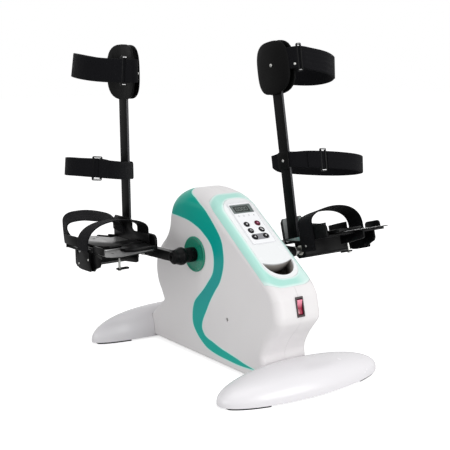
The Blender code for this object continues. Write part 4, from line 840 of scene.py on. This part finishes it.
FOOT_BOTTOM, FOOT_RIM, HOLLOW_HALF = 0.003, 0.007, 0.085
for name, y, half, depth, top in (("front", -0.1805, 0.155, 0.052, 0.040),
                                  ("rear", 0.1985, 0.156, 0.034, 0.052)):
    foot = dome("foot_" + name, y, half, depth, FOOT_BOTTOM, FOOT_RIM, top)
    carve(foot, dome("cut", y, HOLLOW_HALF, depth - 0.004, 0.0, 0.0033, top - 0.006))
    carve(foot, housing_body("cut", -0.1, 0.1, grow=0.0006))
    fit(foot, foot_abs, "housing", "white_shell", name + "_foot")
    for side in ("left", "right"):
        refinish("%s_foot_pad_%s" % (name, side), pad_rubber)


# Axle covers
# Round green ABS rosettes round the crank axle, with a raised rim and a shallow dished face.
cover_green = moulded("green_abs", "#1B8A70", 0.30, 1.2, 0.004, spread=0.10, IOR=1.5)
AXLE = (0.0375, 0.1764)

for name, side in (("left", -1.0), ("right", 1.0)):
    near = HOUSING_HALF + CLEARANCE
    profile = [(0.0091, near), (0.0299, near), (0.0299, near + 0.0012), (0.0296, near + 0.0019),
               (0.0290, near + 0.0024), (0.0282, near + 0.0026), (0.0272, near + 0.0025),
               (0.0264, near + 0.0020), (0.0255, near + 0.0016), (0.0200, near + 0.0014),
               (0.0140, near + 0.0016), (0.0091, near + 0.0018)]
    cover = turned("cover_" + name, side_view(side, AXLE), profile, steps=96)
    fit(cover, cover_green, "housing", "green_plastic", "axle_cover_" + name)


# Cranks
# Glass-filled nylon over steel, black with a soft sheen: a long boss on the axle that steps
# up to its cap, and a tapered arm to the pedal spindle's eye. A socket screw closes the boss.
black_nylon = moulded("black_nylon", "#0A0A0B", 0.32, 0.9, 0.010, spread=0.2, specular=0.09)
screw_steel = moulded("zinc_plated_steel", "#B9B9B6", 0.30, 0.7, 0.004, Metallic=1.0)
CRANK_LENGTH = 0.0935
CRANK_DROP = math.radians(2.0)
VOXEL = 0.0009
SMOOTH_ROUNDS = 6


def blended(piece):
    """Runs the joined forms of a moulding together: one skin of small cells, then smoothed."""
    remesh = piece.modifiers.new("skin", "REMESH")
    remesh.mode = "VOXEL"
    remesh.voxel_size = VOXEL
    soften = piece.modifiers.new("soften", "SMOOTH")
    soften.factor = 0.5
    soften.iterations = SMOOTH_ROUNDS
    return apply_modifiers(piece)


def merged(name, *pieces):
    """One object from several closed ones, which are removed."""
    work = bmesh.new()
    for piece in pieces:
        work.from_mesh(piece.data)
    mesh = bpy.data.meshes.new(name)
    work.to_mesh(mesh)
    work.free()
    for piece in pieces:
        bpy.data.objects.remove(piece)
    return added(name, mesh)


def facing(place, out):
    """View on a point, whose heights run along out."""
    out = np.asarray(out, float) / np.linalg.norm(out)
    across = np.cross((0.0, 0.0, 1.0) if abs(out[2]) < 0.9 else (0.0, 1.0, 0.0), out)
    across /= np.linalg.norm(across)
    return np.asarray(place, float), across, np.cross(out, across), out


def screw(name, place, out, radius, body, depth=0.0012):
    """Pan-head screw: a flattened dome, with a round recess for the driver."""
    r, h = radius, radius * 0.5
    profile = [(0, -depth), (r, -depth), (r, 0.10 * h), (0.94 * r, 0.45 * h), (0.78 * r, 0.80 * h),
               (0.55 * r, h), (0.34 * r, h), (0.24 * r, 0.45 * h), (0, 0.40 * h)]
    return fit(turned(name, facing(place, out), profile, steps=24), screw_steel, body, "steel")


ARM_LOW, ARM_HIGH = 0.0768, 0.0892
EYE_BORE, CAP_BORE = 0.0064, 0.0046
for name, side in (("left", -1.0), ("right", 1.0)):
    screw("flank_screw_" + name, (side * (HOUSING_HALF - 0.0024), *FLANK_SCREW), (side, 0, 0),
          0.0028, "housing", depth=0.0006)
    eye = (-side * CRANK_LENGTH * math.cos(CRANK_DROP), side * CRANK_LENGTH * math.sin(CRANK_DROP))
    view = side_view(side, AXLE)
    boss = turned("boss", view, [(0, 0.0483), (0.0125, 0.0483), (0.0125, 0.068), (0.0150, 0.0710),
                                 (0.0150, 0.0757), (0.0093, 0.0910), (0.0085, 0.0925),
                                 (0, 0.0925)])
    end = np.array(eye)
    run = end / np.hypot(*eye)
    across = np.array([-run[1], run[0]])
    arm = np.vstack([across * 0.0080, end + across * 0.0086, end - across * 0.0086,
                     -across * 0.0080])
    pieces = [boss, prism("arm", view, arm, ARM_LOW, ARM_HIGH),
              prism("eye", view, circle(0.0088, eye, 40), ARM_LOW - 0.0002, ARM_HIGH + 0.0002),
              prism("root", view, circle(0.0120, steps=40), ARM_LOW, ARM_HIGH)]
    crank = blended(merged("crank_arm_" + name, *pieces))
    cut(crank, view, circle(EYE_BORE, eye, 32), 0.06, 0.12)
    cut(crank, view, circle(CAP_BORE, steps=32), 0.0905, 0.12)
    fit(crank, black_nylon, "crankset", "black_plastic", "crank_" + name)
    cap = turned("crank_screw_" + name, view,
                 [(0, 0.0880), (0.0044, 0.0880), (0.0044, 0.0910), (0.0040, 0.0916),
                  (0.0024, 0.0916), (0.0022, 0.0896), (0, 0.0896)])
    fit(cap, black_nylon, "crankset", "black_plastic")
    spindle = turned("spindle_" + name, view,
                     [(0, 0.0768), (0.0059, 0.0768), (0.0062, 0.0772), (0.0062, 0.0898),
                      (0.0083, 0.0898), (0.0085, 0.0900), (0.0085, 0.0918), (0.0083, 0.0920),
                      (0.0056, 0.0921), (0.0056, 0.2119), (0.0051, 0.2125), (0, 0.2125)], eye)
    fit(spindle, screw_steel, "crankset", "steel", "pedal_spindle_" + name)


# Pedals
# A black glass-filled nylon base with ear plates, a ribbed heel wing and a tread, the zinc
# plated foot plate and heel sheet on it, a bolt, and the bracket that carries the leg bar.
# Spindle centre as y and z, tilt of the pedal and tilt of the leg support
PEDALS = {"left": (-1.0, (0.130943, 0.173137), math.radians(0.8), math.radians(0.8)),
          "right": (1.0, (-0.055943, 0.179663), math.radians(15.5), math.radians(10.8))}
STREAK_MM = 0.6


def softened(piece, width=0.0004, segments=2, angle=35.0):
    """Rounds the edges of a finished block that are sharper than an angle in degrees."""
    bevel = piece.modifiers.new("edges", "BEVEL")
    bevel.width = width
    bevel.segments = segments
    bevel.limit_method = "ANGLE"
    bevel.angle_limit = math.radians(angle)
    return apply_modifiers(piece)


def dressed(node_name, material, body, slot, width, segments=2):
    """Copy of a CAD node with its flat faces joined and its edges rounded."""
    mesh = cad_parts[node_name].data.copy()
    work = bmesh.new()
    work.from_mesh(mesh)
    bmesh.ops.remove_doubles(work, verts=work.verts, dist=1e-5)
    bmesh.ops.dissolve_limit(work, angle_limit=math.radians(1.0), verts=work.verts,
                             edges=work.edges)
    work.to_mesh(mesh)
    work.free()
    piece = softened(added("dressed_" + node_name, mesh), width, segments, 40.0)
    return fit(piece, material, body, slot, node_name)


def brushed(name, colour, roughness):
    """Rolled steel sheet, zinc plated: streaks along the rolling direction, no rust."""
    made = new_material(name)
    place = node(made, "TexCoord"), "Object"
    stretch = node(made, "Mapping", None, {"Vector": place, "Scale": (1.0, 0.06, 1.0)})
    streak = node(made, "TexNoise", None, {"Vector": (stretch, 0), "Scale": 1000 / STREAK_MM,
                                           "Detail": 3.0}), 0
    gloss = ranged(made, streak, 0.0, 1.0, roughness * 0.8, roughness * 1.3)
    tint = mixed(made, noise(made, 60.0), darker(colour, 0.8), linear(colour))
    return painted(made, tint, gloss, bump(made, streak, 0.00001), Metallic=0.85)


def pedal_view(name, tilt):
    """Frame of a pedal: outwards, along the foot and up, leaning by tilt about the spindle."""
    side, centre = PEDALS[name][:2]
    along = np.array([0.0, math.cos(tilt), -math.sin(tilt)])
    up = np.array([0.0, math.sin(tilt), math.cos(tilt)])
    return np.array([0.0, *centre]), np.array([side, 0.0, 0.0]), along, up


def highlight_faces(piece, material, direction):
    """Gives faces that look along a direction, either way, a second finish: a painted highlight.
    """
    mesh = piece.data
    mesh.materials.append(material)
    normals = np.empty(len(mesh.polygons) * 3)
    mesh.polygons.foreach_get("normal", normals)
    turned_to = np.abs(normals.reshape(-1, 3) @ np.asarray(direction, float)) > 0.8
    mesh.polygons.foreach_set("material_index", turned_to.astype(np.int32))
    return piece


plate_steel = brushed("zinc_plated_sheet", "#A8A8A8", 0.38)
bright_zinc = brushed("bright_zinc_sheet", "#DDE0E0", 0.30)
# Outlines seen from the side as v along the foot and w up, in millimetres
EAR = [(-46, 18.2), (-3.5, 18.2), (-3.5, -2), (-4.6, -7), (-8, -10.6), (-14, -12.4), (-22, -13),
       (-49, -12.6), (-50.4, -11.4), (-51, -8), (-47, 4)]
EAR_HOLE = [(-5.6, 17.4), (-18.5, 16.8), (-9.0, 10.6)]
HEEL_SKIRT = [(-44, 14.2), (-44, -12.5), (-51, -12.5), (-55.5, -7.9), (-69, -3), (-72, 2),
              (-72, 14.2)]
HEEL_RIB = [(-44, 14.6), (-44, -1), (-63, 0), (-96, 3.4), (-100, 5.4), (-100.5, 15), (-90, 17.2),
            (-56, 17.2)]
SIDE_BRIDGE = [(-4, 20.4), (42, 20.4), (42, 35.2), (20, 36.4), (-4, 37)]
LEG_BRACKET = [(-62, 19), (-54, 19), (-54, 20.6), (52, 20.6), (52, 52), (47, 58), (-2, 58),
               (-7, 53), (-9, 42), (-14, 38.6), (-62, 38.6)]
ZINC_WEDGE = [(34.5, 20.8), (-4.5, 22.4), (-4.5, 15.2)]
WALL_TRIM = [(-60, -30), (6, -30), (6, 0), (-3.2, 0), (-4.4, -7.2), (-8, -10.9), (-14, -12.7),
             (-22, -13.2), (-48, -12.9), (-48, -20), (-60, -20)]
TOE_TRIM = [(62, 19.6), (100, 19.6), (100, 60), (62, 60)]
# Outlines seen from above as u outwards and v along the foot, in millimetres
TREAD = [(118, -18), (160, -20), (170, -12), (184, 12), (193, 14), (197, 6), (198, -30),
         (189, -44), (182, -50), (158, -50), (118, -50)]
HEEL_PLATE = [(124, -54), (211, -54), (216.5, -70), (216.5, -98), (211, -106), (196, -112),
              (124, -95)]
HEEL_SHEET = [(126, -54), (209, -54), (214.5, -70), (214.5, -97), (209.5, -104), (195.5, -110),
              (126, -93)]
HEEL_BLOCK = [(118, -54), (160, -54), (172, -66), (172, -84), (160, -90), (118, -88)]
BOLT_PLACE = (0.166, -0.052)
SHEET_HOLE = (0.1925, -0.078)
PLATE_HOLES = ((0.157, 0.0492), (0.1284, 0.0505))
# Blocks as finish, outline, low and high u, and sheets as finish, outline, low and high w
# and edge radius
BLOCKS = {"ear_backing": (bright_zinc, EAR_HOLE, 0.2152, 0.2163),
          "heel_skirt": (black_nylon, HEEL_SKIRT, 0.2094, 0.2124),
          "heel_rib": (black_nylon, HEEL_RIB, 0.1580, 0.1610),
          "side_bridge": (black_nylon, SIDE_BRIDGE, 0.2134, 0.2158),
          "zinc_wedge": (bright_zinc, ZINC_WEDGE, 0.1030, 0.1045)}
SHEETS = {"tread": (black_nylon, TREAD, 0.0202, 0.0250, 0.0012),
          "heel_plate": (black_nylon, HEEL_PLATE, 0.0176, 0.0188, 0.0003),
          "heel_sheet": (plate_steel, HEEL_SHEET, 0.0188, 0.0191, 0.0),
          "heel_block": (black_nylon, HEEL_BLOCK, 0.0190, 0.0240, 0.0010)}


def millimetres(outline):
    return np.array(outline, float) / 1000


for name in PEDALS:
    body = name + "_pedal"
    start, across, along, up = pedal_view(name, PEDALS[name][2])
    flat_side = (start, along, up, across)
    plan = (start, across, along, up)
    base = dressed("pedal_base_" + name, black_nylon, body, "black_plastic", 0.0006)
    cut(base, flat_side, millimetres(WALL_TRIM), 0.2085, 0.23)
    cut(base, flat_side, millimetres(TOE_TRIM), 0.1135, 0.19)
    fit(base, black_nylon, body, "black_plastic")
    plate = dressed("foot_plate_" + name, plate_steel, body, "steel", 0.0003)
    for centre in PLATE_HOLES:
        cut(plate, plan, circle(0.0026, centre), 0.0, 0.05)
    fit(plate, plate_steel, body, "steel")
    ear = prism("ear_" + name, flat_side, millimetres(EAR), 0.2160, 0.2182)
    cut(ear, flat_side, millimetres(EAR_HOLE), 0.20, 0.23)
    fit(softened(ear), black_nylon, body, "black_plastic")
    for kind, (material, outline, low, high) in BLOCKS.items():
        block = prism("%s_%s" % (kind, name), flat_side, millimetres(outline), low, high)
        fit(softened(block, 0.0003), material, body,
            "black_plastic" if material is black_nylon else "steel")
    bracket = prism("leg_bracket_" + name, flat_side, millimetres(LEG_BRACKET), 0.1139, 0.1157)
    fit(softened(bracket, 0.0003), black_nylon, body, "bar_paint")
    for kind, (material, outline, low, high, edge) in SHEETS.items():
        sheet = prism("%s_%s" % (kind, name), plan, millimetres(outline), low, high)
        if kind == "heel_sheet":
            cut(sheet, plan, circle(0.0028, SHEET_HOLE), 0.0, 0.05)
        fit(softened(sheet, edge) if edge else sheet, material, body,
            "black_plastic" if material is black_nylon else "steel")
    keeper = rounded_rectangle(0.011, -0.0565, -0.0475, 0.003) + (0.160, 0.0)
    fit(softened(prism("bolt_keeper_" + name, plan, keeper, -0.0150, -0.0125)), black_nylon, body,
        "black_plastic")
    bolt = turned("bolt_" + name, plan, [(0, 0.0136), (0.0019, 0.0136), (0.0019, -0.0122),
                                         (0.0034, -0.0123), (0.0034, -0.0158), (0.0026, -0.0168),
                                         (0, -0.0168)], BOLT_PLACE, 20)
    fit(bolt, screw_steel, body, "steel")
    for kind, (u, v, w, way) in {"outer": (0.2182, -0.0438, 0.0060, 1.0),
                                 "rear": (0.2182, -0.0120, -0.0045, 1.0),
                                 "inner": (0.1024, -0.0186, 0.0054, -1.0)}.items():
        screw("pedal_screw_%s_%s" % (kind, name), start + u * across + v * along + w * up,
              way * across, 0.0019, body)


# Straps over the foot
# Black nylon webbing, 36 mm wide, woven with fine cross ribs. It is screwed to the pedal's
# sides and its free end is fastened with hook and loop tape on the outer side.
WEBBING = 0.002
RIB_MM, THREAD_MM = 1.5, 1.1


def webbing(name, colour):
    """Woven nylon: ribs across the strap and a chevron in each, from the strap's own UV."""
    made = new_material(name)
    cells = node(made, "SeparateXYZ", None, {"Vector": (node(made, "UVMap"), 0)})
    slant = maths(made, "PINGPONG", (cells, "Y"), 0.004)
    phase = maths(made, "ADD", (cells, "X"), slant)
    rib = maths(made, "SINE", maths(made, "MULTIPLY", phase, 2 * math.pi / RIB_MM * 1000))
    thread = maths(made, "MULTIPLY", (cells, "Y"), 2 * math.pi / THREAD_MM * 1000)
    weave = maths(made, "MULTIPLY_ADD", maths(made, "SINE", thread), 0.4, rib)
    share = ranged(made, weave, -1.4, 1.4)
    tint = mixed(made, share, darker(colour, 0.55), linear(colour))
    return painted(made, tint, 0.72, bump(made, share, 0.00025),
                   **{"Specular IOR Level": 0.06, "Sheen Weight": 0.03, "Sheen Roughness": 0.4})


def strap(name, centres, halves, thickness, closed):
    """Flat strap with rounded edges: at each centre a section of the given half width."""
    length = np.linalg.norm(halves, axis=1)[:, None]
    if closed:
        run = np.roll(centres, -1, 0) - np.roll(centres, 1, 0)
    else:
        run = np.gradient(centres, axis=0)
    out = np.cross(run, halves)
    out /= np.linalg.norm(out, axis=1)[:, None]
    side = halves / length
    h = thickness / 2
    flat = np.linspace(-1, 1, 9)
    turn = np.linspace(math.pi / 2, -math.pi / 2, 7)[1:-1]
    rows = [side * (length - h) * s + out * h for s in flat]
    rows += [side * (length - h + h * math.cos(a)) + out * h * math.sin(a) for a in turn]
    rows += [side * (length - h) * s - out * h for s in flat[::-1]]
    rows += [side * (-length + h - h * math.cos(a)) - out * h * math.sin(a) for a in turn]
    grid = centres[:, None] + np.stack(rows, 1)
    count, columns = grid.shape[:2]
    faces = grid_faces(count, columns, wrap_rows=closed)
    mesh = bpy.data.meshes.new(name)
    caps = [] if closed else [list(range(columns))[::-1],
                              list(range((count - 1) * columns, count * columns))]
    mesh.from_pydata(grid.reshape(-1, 3).tolist(), [], faces + caps)
    step = np.linalg.norm(np.diff(centres, axis=0, append=centres[:1]), axis=1)
    u = np.concatenate([[0.0], np.cumsum(step)])
    around = np.linalg.norm(np.diff(grid[0], axis=0, append=grid[0][:1]), axis=1)
    v = np.concatenate([[0.0], np.cumsum(around)])
    i = np.repeat(np.arange(count if closed else count - 1), columns)
    j = np.tile(np.arange(columns), count if closed else count - 1)
    values = np.stack([np.stack([u[i + a], v[j + b]], 1)
                       for a, b in ((0, 0), (1, 0), (1, 1), (0, 1))], 1)
    uv_map = mesh.uv_layers.new(name="UVMap")
    full = np.zeros((len(uv_map.data), 2))
    full[:len(faces) * 4] = values.reshape(-1, 2)
    uv_map.data.foreach_set("uv", full.ravel())
    work = bmesh.new()
    work.from_mesh(mesh)
    bmesh.ops.recalc_face_normals(work, faces=work.faces)
    work.to_mesh(mesh)
    work.free()
    return added(name, mesh)


PEDAL_FACE, EAR_FACE = 0.1047, 0.2158
# Instep: heights of the arch's two feet, its low end and its top, and the drop of its toe
# edge. Toe: points of both edges as u, v and w in millimetres, and the slack in its height.
FOOT_STRAPS = {
    "instep": dict(inner=0.0415, outer=0.026, low={"left": 0.008, "right": -0.004},
                   drop=0.004, top={"left": 0.062, "right": 0.063}),
    "toe": dict(slack={"left": 1.0, "right": 0.62},
                toe_edge=[(117.6, 50, 34), (119, 50.5, 50), (124.6, 52.6, 59.2),
                          (144.5, 59.4, 65.7), (164.4, 66.2, 68.4), (184.2, 72.9, 67),
                          (194.2, 76.3, 63.3), (199.4, 78.1, 56.2), (199.8, 78.2, 45.7),
                          (199.5, 78.1, 35.1), (198.9, 77.9, 24.4), (197.9, 77.6, 14)],
                heel_edge=[(117.6, 13, 30), (119, 14, 42), (126, 17, 48), (146, 23, 52.5),
                           (164, 29, 54.2), (183, 35.5, 56.5), (200, 41, 54.8), (208, 43, 51),
                           (210, 43, 43.5), (206, 42, 34), (199, 41, 25), (196.4, 40.1, 13)])}
INSTEP_START, INSTEP_END, INSTEP_LOW, TOE_LOW = -0.042, -0.0065, 0.0184, 0.014
ARCH_STEPS = 60
strap_nylon = webbing("black_webbing", "#111114")


def arch_path(sizes, name):
    """Strap over the instep: height = base + (top - base) * sin(t) ** 0.8 between two legs, and
    its toe edge lies lower by the drop at the top of the arch."""
    middle = (INSTEP_START + INSTEP_END) / 2
    half = (INSTEP_END - INSTEP_START) / 2
    gap = CLEARANCE + WEBBING / 2
    inner, outer = PEDAL_FACE - gap, EAR_FACE + gap
    share = (1 - np.cos(np.linspace(0, math.pi, ARCH_STEPS + 1))) / 2
    base = sizes["inner"] + (sizes["outer"] - sizes["inner"]) * share
    rise = (1 - (2 * share - 1) ** 2).clip(0) ** 0.4
    z = base + (sizes["top"][name] - base) * rise
    z = np.concatenate([np.linspace(sizes["low"][name], z[0], 10)[:-1], z,
                        np.linspace(z[-1], INSTEP_LOW, 10)[1:]])
    share = np.concatenate([np.zeros(9), share, np.ones(9)])
    lean = np.concatenate([np.zeros(9), rise, np.zeros(9)]) * sizes["drop"] / 2
    u = inner + (outer - inner) * share
    return (np.stack([u, np.full_like(u, middle), z], 1),
            np.stack([np.zeros_like(u), np.full_like(u, half), -lean], 1))


def toe_path(sizes, name):
    """Strap over the toes: each edge is a smooth curve through listed points, from the bracket
    to the toe corner, and its height over the low end is scaled by the slack of the side."""
    edges = []
    for kind in ("toe_edge", "heel_edge"):
        p = np.array(sizes[kind]) / 1000
        p[:, 2] = TOE_LOW + (p[:, 2] - TOE_LOW) * sizes["slack"][name]
        edges.append(open_curve(p, 8))
    toe, heel = edges
    return (toe + heel) / 2, (toe - heel) / 2


for name in PEDALS:
    start, across, along, up = pedal_view(name, PEDALS[name][2])
    basis = np.array([across, along, up])
    for kind, shape in (("instep", arch_path), ("toe", toe_path)):
        centres, halves = shape(FOOT_STRAPS[kind], name)
        piece = strap("%s_webbing_%s" % (kind, name), start + centres @ basis, halves @ basis,
                      WEBBING, False)
        fit(piece, strap_nylon, name + "_pedal", "webbing", "%s_strap_%s" % (kind, name), sharp=60)


# Leg supports
# A flat steel bar, powder coated black, screwed to the pedal's tab. It carries a moulded
# calf pad and two closed webbing loops, one round the calf and one round the shin.
powder_coat = moulded("black_powder_coat", "#0B0B0C", 0.40, 1.4, 0.012, spread=0.2, specular=0.08)
# Paler, glossier coat for the bars' narrow faces: a painted highlight where they face the light.
highlight_coat = moulded("powder_coat_painted_highlight", "#3A3A3D", 0.36, 1.4, 0.012, spread=0.3, specular=0.30)
pad_plastic = moulded("black_pad_plastic", "#090909", 0.44, 1.0, 0.012, spread=0.2, specular=0.07)
BAR_V, BAR_INNER = 0.0185, 0.10685
# Loops seen from above, as shares of the length outwards and of the half width along the foot
CALF_LOOP = [(0.002, 0.27), (0.002, -0.27), (0.075, -0.99), (0.30, -1.06), (0.62, -0.98),
             (0.90, -0.62), (1.0, -0.10), (0.93, 0.45), (0.68, 0.84), (0.35, 0.90), (0.090, 0.70)]
SHIN_LOOP = [(0.0, 0.24), (0.0, -0.26), (0.14, -0.62), (0.42, -0.95), (0.72, -1.0),
             (0.94, -0.72), (1.0, -0.25), (0.86, 0.30), (0.55, 0.72), (0.22, 0.85), (0.02, 0.62)]
# Length, half width, band height, height over the spindle, droop and lift in degrees
LOOPS = {"calf_left": (0.090, 0.053, 0.040, 0.303, -7.0, 5.6),
         "calf_right": (0.119, 0.053, 0.040, 0.320, 2.0, -9.5),
         "shin_left": (0.119, 0.055, 0.032, 0.1375, 3.2, 7.2),
         "shin_right": (0.152, 0.055, 0.032, 0.154, 1.8, -8.8)}
LOOP_STEPS = 14
# Place along the loop, counted in its points, and half width of the frame
BUCKLES = {"calf_left": (3.3, 0.0055), "calf_right": (2.15, 0.0045), "shin_left": (4.1, 0.0080),
           "shin_right": (2.65, 0.0055)}
BAND_SHARE = {"calf": 0.95, "shin": 0.92}
PINCH = {"calf": 0.10, "shin": 0.28}
LAYER_SHARE = 0.97
# Centres along the foot and up, of the calf pads and, up only, of the shin plates
PAD_PLACES = {"left": (0.0120, 0.3015), "right": (0.0205, 0.3103)}
PAD_HALF_WIDTH, PAD_HALF_HEIGHT, PAD_FACE, PAD_THICKNESS = 0.0425, 0.0442, 0.1041, 0.0028
SHIN_PLATE = {"left": 0.1375, "right": 0.1525}
BUCKLE_BAR, BUCKLE_HALF_DEPTH = 0.0030, 0.0022


def loop_path(shape, sizes, pinch):
    """Closed strap from above, lifted and drooped more the further out it runs. The band is
    narrower where it turns round the bar, by a bell curve of the distance from the bar."""
    length, half, band, height, droop, lift = sizes
    droop, lift = math.radians(droop), math.radians(lift)
    p = np.array(shape)
    t = np.arange(LOOP_STEPS) / LOOP_STEPS
    flat = np.vstack([curve_through(*(p[(i + k) % len(p)] for k in (-1, 0, 1, 2)), t)
                      for i in range(len(p))])
    out, along = flat[:, 0] * length, flat[:, 1] * half
    weight = np.clip(out / length, 0, 1)
    rise = np.maximum(out, 0) * math.sin(lift) - along * math.sin(droop) * weight
    inner = BAR_INNER - CLEARANCE - WEBBING / 2
    centres = np.stack([inner + out * math.cos(lift), BAR_V + along, height + rise], 1)
    ups = np.stack([-math.sin(lift) * weight, math.sin(droop) * weight, np.ones_like(out)], 1)
    ups /= np.linalg.norm(ups, axis=1)[:, None]
    turn = np.exp(-(flat[:, 0] / 0.11) ** 2) * np.clip(np.abs(flat[:, 1]) / 0.45, 0, 1)
    narrow = 1 - turn * np.where(flat[:, 1] > 0, pinch, pinch * 0.6)
    return centres, ups * (band / 2 * narrow)[:, None]


def layer(name, centres, halves, first, last, lift, share):
    """A second layer of webbing on part of a loop, lifted off it outwards."""
    run = np.roll(centres, -1, 0) - np.roll(centres, 1, 0)
    out = np.cross(run, halves)
    out /= np.linalg.norm(out, axis=1)[:, None]
    out *= np.sign(np.sum(out * (centres - centres.mean(0)), axis=1))[:, None]
    part = np.arange(first, last + 1) % len(centres)
    ease = np.ones(len(part))
    ease[-1] = 0.6
    return strap(name, centres[part] + out[part] * lift * ease[:, None], halves[part] * share,
                 WEBBING * 0.8, False)


def bent_plate(name, view, centre, half_v, half_w, face, thickness):
    """Thin shell on a superellipse, bent round the leg: depth = radius * (1 - cos(v/radius))."""
    radius, fullness = 0.22, 2.9
    start, across, along, up = view
    t = np.arange(64) / 64 * 2 * math.pi
    v = np.sign(np.cos(t)) * np.abs(np.cos(t)) ** (2 / fullness)
    w = np.sign(np.sin(t)) * np.abs(np.sin(t)) ** (2 / fullness)
    profile = [(0, 0), (0.35, 0), (0.7, 0), (0.94, 0), (0.985, 0.12), (1, 0.35), (1, 0.65),
               (0.985, 0.88), (0.94, 1), (0.7, 1), (0.35, 1), (0, 1)]
    rings = []
    for share, depth in profile:
        place_v = half_v * share * v
        u = face + radius * (1 - np.cos(place_v / radius)) - thickness * depth
        rings.append(start + u[:, None] * across + (centre[0] + place_v)[:, None] * along
                     + (centre[1] + half_w * share * w)[:, None] * up)
    return solid(name, np.vstack(rings), grid_faces(len(profile), 64))


def buckle(name, centre, run, up, band, half_wide, body, node_name):
    """Slide buckle: a flat moulded frame across the band; two bright wires in its slot are painted
    glints.
    """
    up = up / np.linalg.norm(up)
    level = run - up * (run @ up)
    level /= np.linalg.norm(level)
    view = (centre, level, up, np.cross(level, up))
    tall = band / 2 + 0.0046
    ring = prism("buckle", view, rounded_rectangle(half_wide, -tall, tall, 0.0022),
                 -BUCKLE_HALF_DEPTH, BUCKLE_HALF_DEPTH)
    hole = rounded_rectangle(half_wide - BUCKLE_BAR, BUCKLE_BAR - tall, tall - BUCKLE_BAR, 0.0010)
    cut(ring, view, hole, -0.01, 0.01)
    ring.name = ring.data.name = name
    fit(softened(ring, 0.0006), black_nylon, body, "black_plastic", node_name)
    # Painted glints: two bright steel wires at the slot's ends, where the frame's bars catch the
    # light.
    for end, kind in ((-1, "low"), (1, "high")):
        glint_wire = rounded_rectangle(half_wide - 0.0022, -0.0006, 0.0006, 0.0005)
        glint_wire = prism("%s_wire_%s" % (name, kind), view, glint_wire + (0.0, end * (tall - 0.0020)),
                     -0.0025, 0.0025)
        fit(glint_wire, plate_steel, body, "steel")


for name in PEDALS:
    body = name + "_pedal"
    view = pedal_view(name, PEDALS[name][3])
    start, across, along, up = view
    basis = np.array([across, along, up])
    for kind, shape in (("calf", CALF_LOOP), ("shin", SHIN_LOOP)):
        key = "%s_%s" % (kind, name)
        centres, halves = loop_path(shape, LOOPS[key], PINCH[kind])
        centres, halves = start + centres @ basis, halves @ basis * BAND_SHARE[kind]
        piece = strap("%s_webbing_%s" % (kind, name), centres, halves, WEBBING, True)
        fit(piece, strap_nylon, body, "webbing", "%s_strap_%s" % (kind, name), sharp=60)
        place, half_wide = BUCKLES[key]
        at = round(place * LOOP_STEPS)
        for second, first, last, lift in (("fold", -8, -1, 0.0021), ("tail", 2, 42, 0.0019)):
            piece = layer("%s_%s_%s" % (kind, second, name), centres, halves, at + first,
                          at + last, lift, LAYER_SHARE)
            fit(piece, strap_nylon, body, "webbing", sharp=60)
        buckle("slide_buckle_%s_%s" % (kind, name), centres[at], centres[at + 1] - centres[at - 1],
               halves[at], 2 * np.linalg.norm(halves[at]), half_wide, body,
               "%s_buckle_%s" % (kind, name))
    bar = dressed("leg_bar_" + name, powder_coat, body, "bar_paint", 0.0008, segments=3)
    # The bar's narrow faces get the paler coat as a painted highlight.
    highlight_faces(bar, highlight_coat, along)
    dressed("calf_pad_" + name, pad_plastic, body, "black_plastic", 0.0009, segments=3)
    back = bent_plate("calf_pad_back_" + name, view, PAD_PLACES[name], PAD_HALF_WIDTH,
                      PAD_HALF_HEIGHT, PAD_FACE, PAD_THICKNESS)
    fit(back, pad_plastic, body, "black_plastic")
    middle = SHIN_PLATE[name]
    plate = rounded_rectangle(0.0135, middle - 0.0150, middle + 0.0150, 0.0045) + (0.0165, 0.0)
    plate = prism("shin_plate_" + name, (start, along, up, across), plate, 0.1022, 0.1043)
    fit(softened(plate, 0.0005), pad_plastic, body, "black_plastic")
    pad_v, pad_w = PAD_PLACES[name]
    places = {"calf": (0.1010, pad_v - 0.001, pad_w + 0.004, 0.0030, 0.0),
              "strap": (0.1100, -0.0318, pad_w - 0.0024, 0.0024, -0.5),
              "shin": (0.1022, 0.0165, middle, 0.0027, 0.0)}
    for kind, (u, v, w, radius, turn) in places.items():
        screw("leg_screw_%s_%s" % (kind, name), start + np.array([u, v, w]) @ basis,
              -across + turn * along, radius, body)

# Inner works and small fittings
# Painted base frame, gear motor, belt drive, bearings, bushes, board and inlet: most are out
# of sight in the housing, and each keeps its CAD shape under its own finish.
frame_paint = moulded("black_frame_paint", "#202022", 0.45, 1.4, 0.015, spread=0.2)
cast_grey = moulded("cast_motor_housing", "#8A8C90", 0.5, 0.8, 0.02, Metallic=0.7)
belt_rubber = moulded("belt_rubber", "#1A1A1A", 0.75, 0.8, 0.02)
board_green = moulded("board_lacquer", "#1F6A3A", 0.35, 0.8, 0.005)
bush_acetal = moulded("acetal_bush", "#DAD8D0", 0.4, 0.8, 0.003)
finishes = {"base_frame": frame_paint, "gear_motor": cast_grey, "motor_pulley": black_nylon,
            "crank_pulley": black_nylon, "drive_belt": belt_rubber, "bearing_left": screw_steel,
            "bearing_right": screw_steel, "crank_axle": screw_steel, "control_board": board_green,
            "power_inlet": black_nylon, "pedal_bush_left": bush_acetal,
            "pedal_bush_right": bush_acetal}
for name, material in finishes.items():
    refinish(name, material)
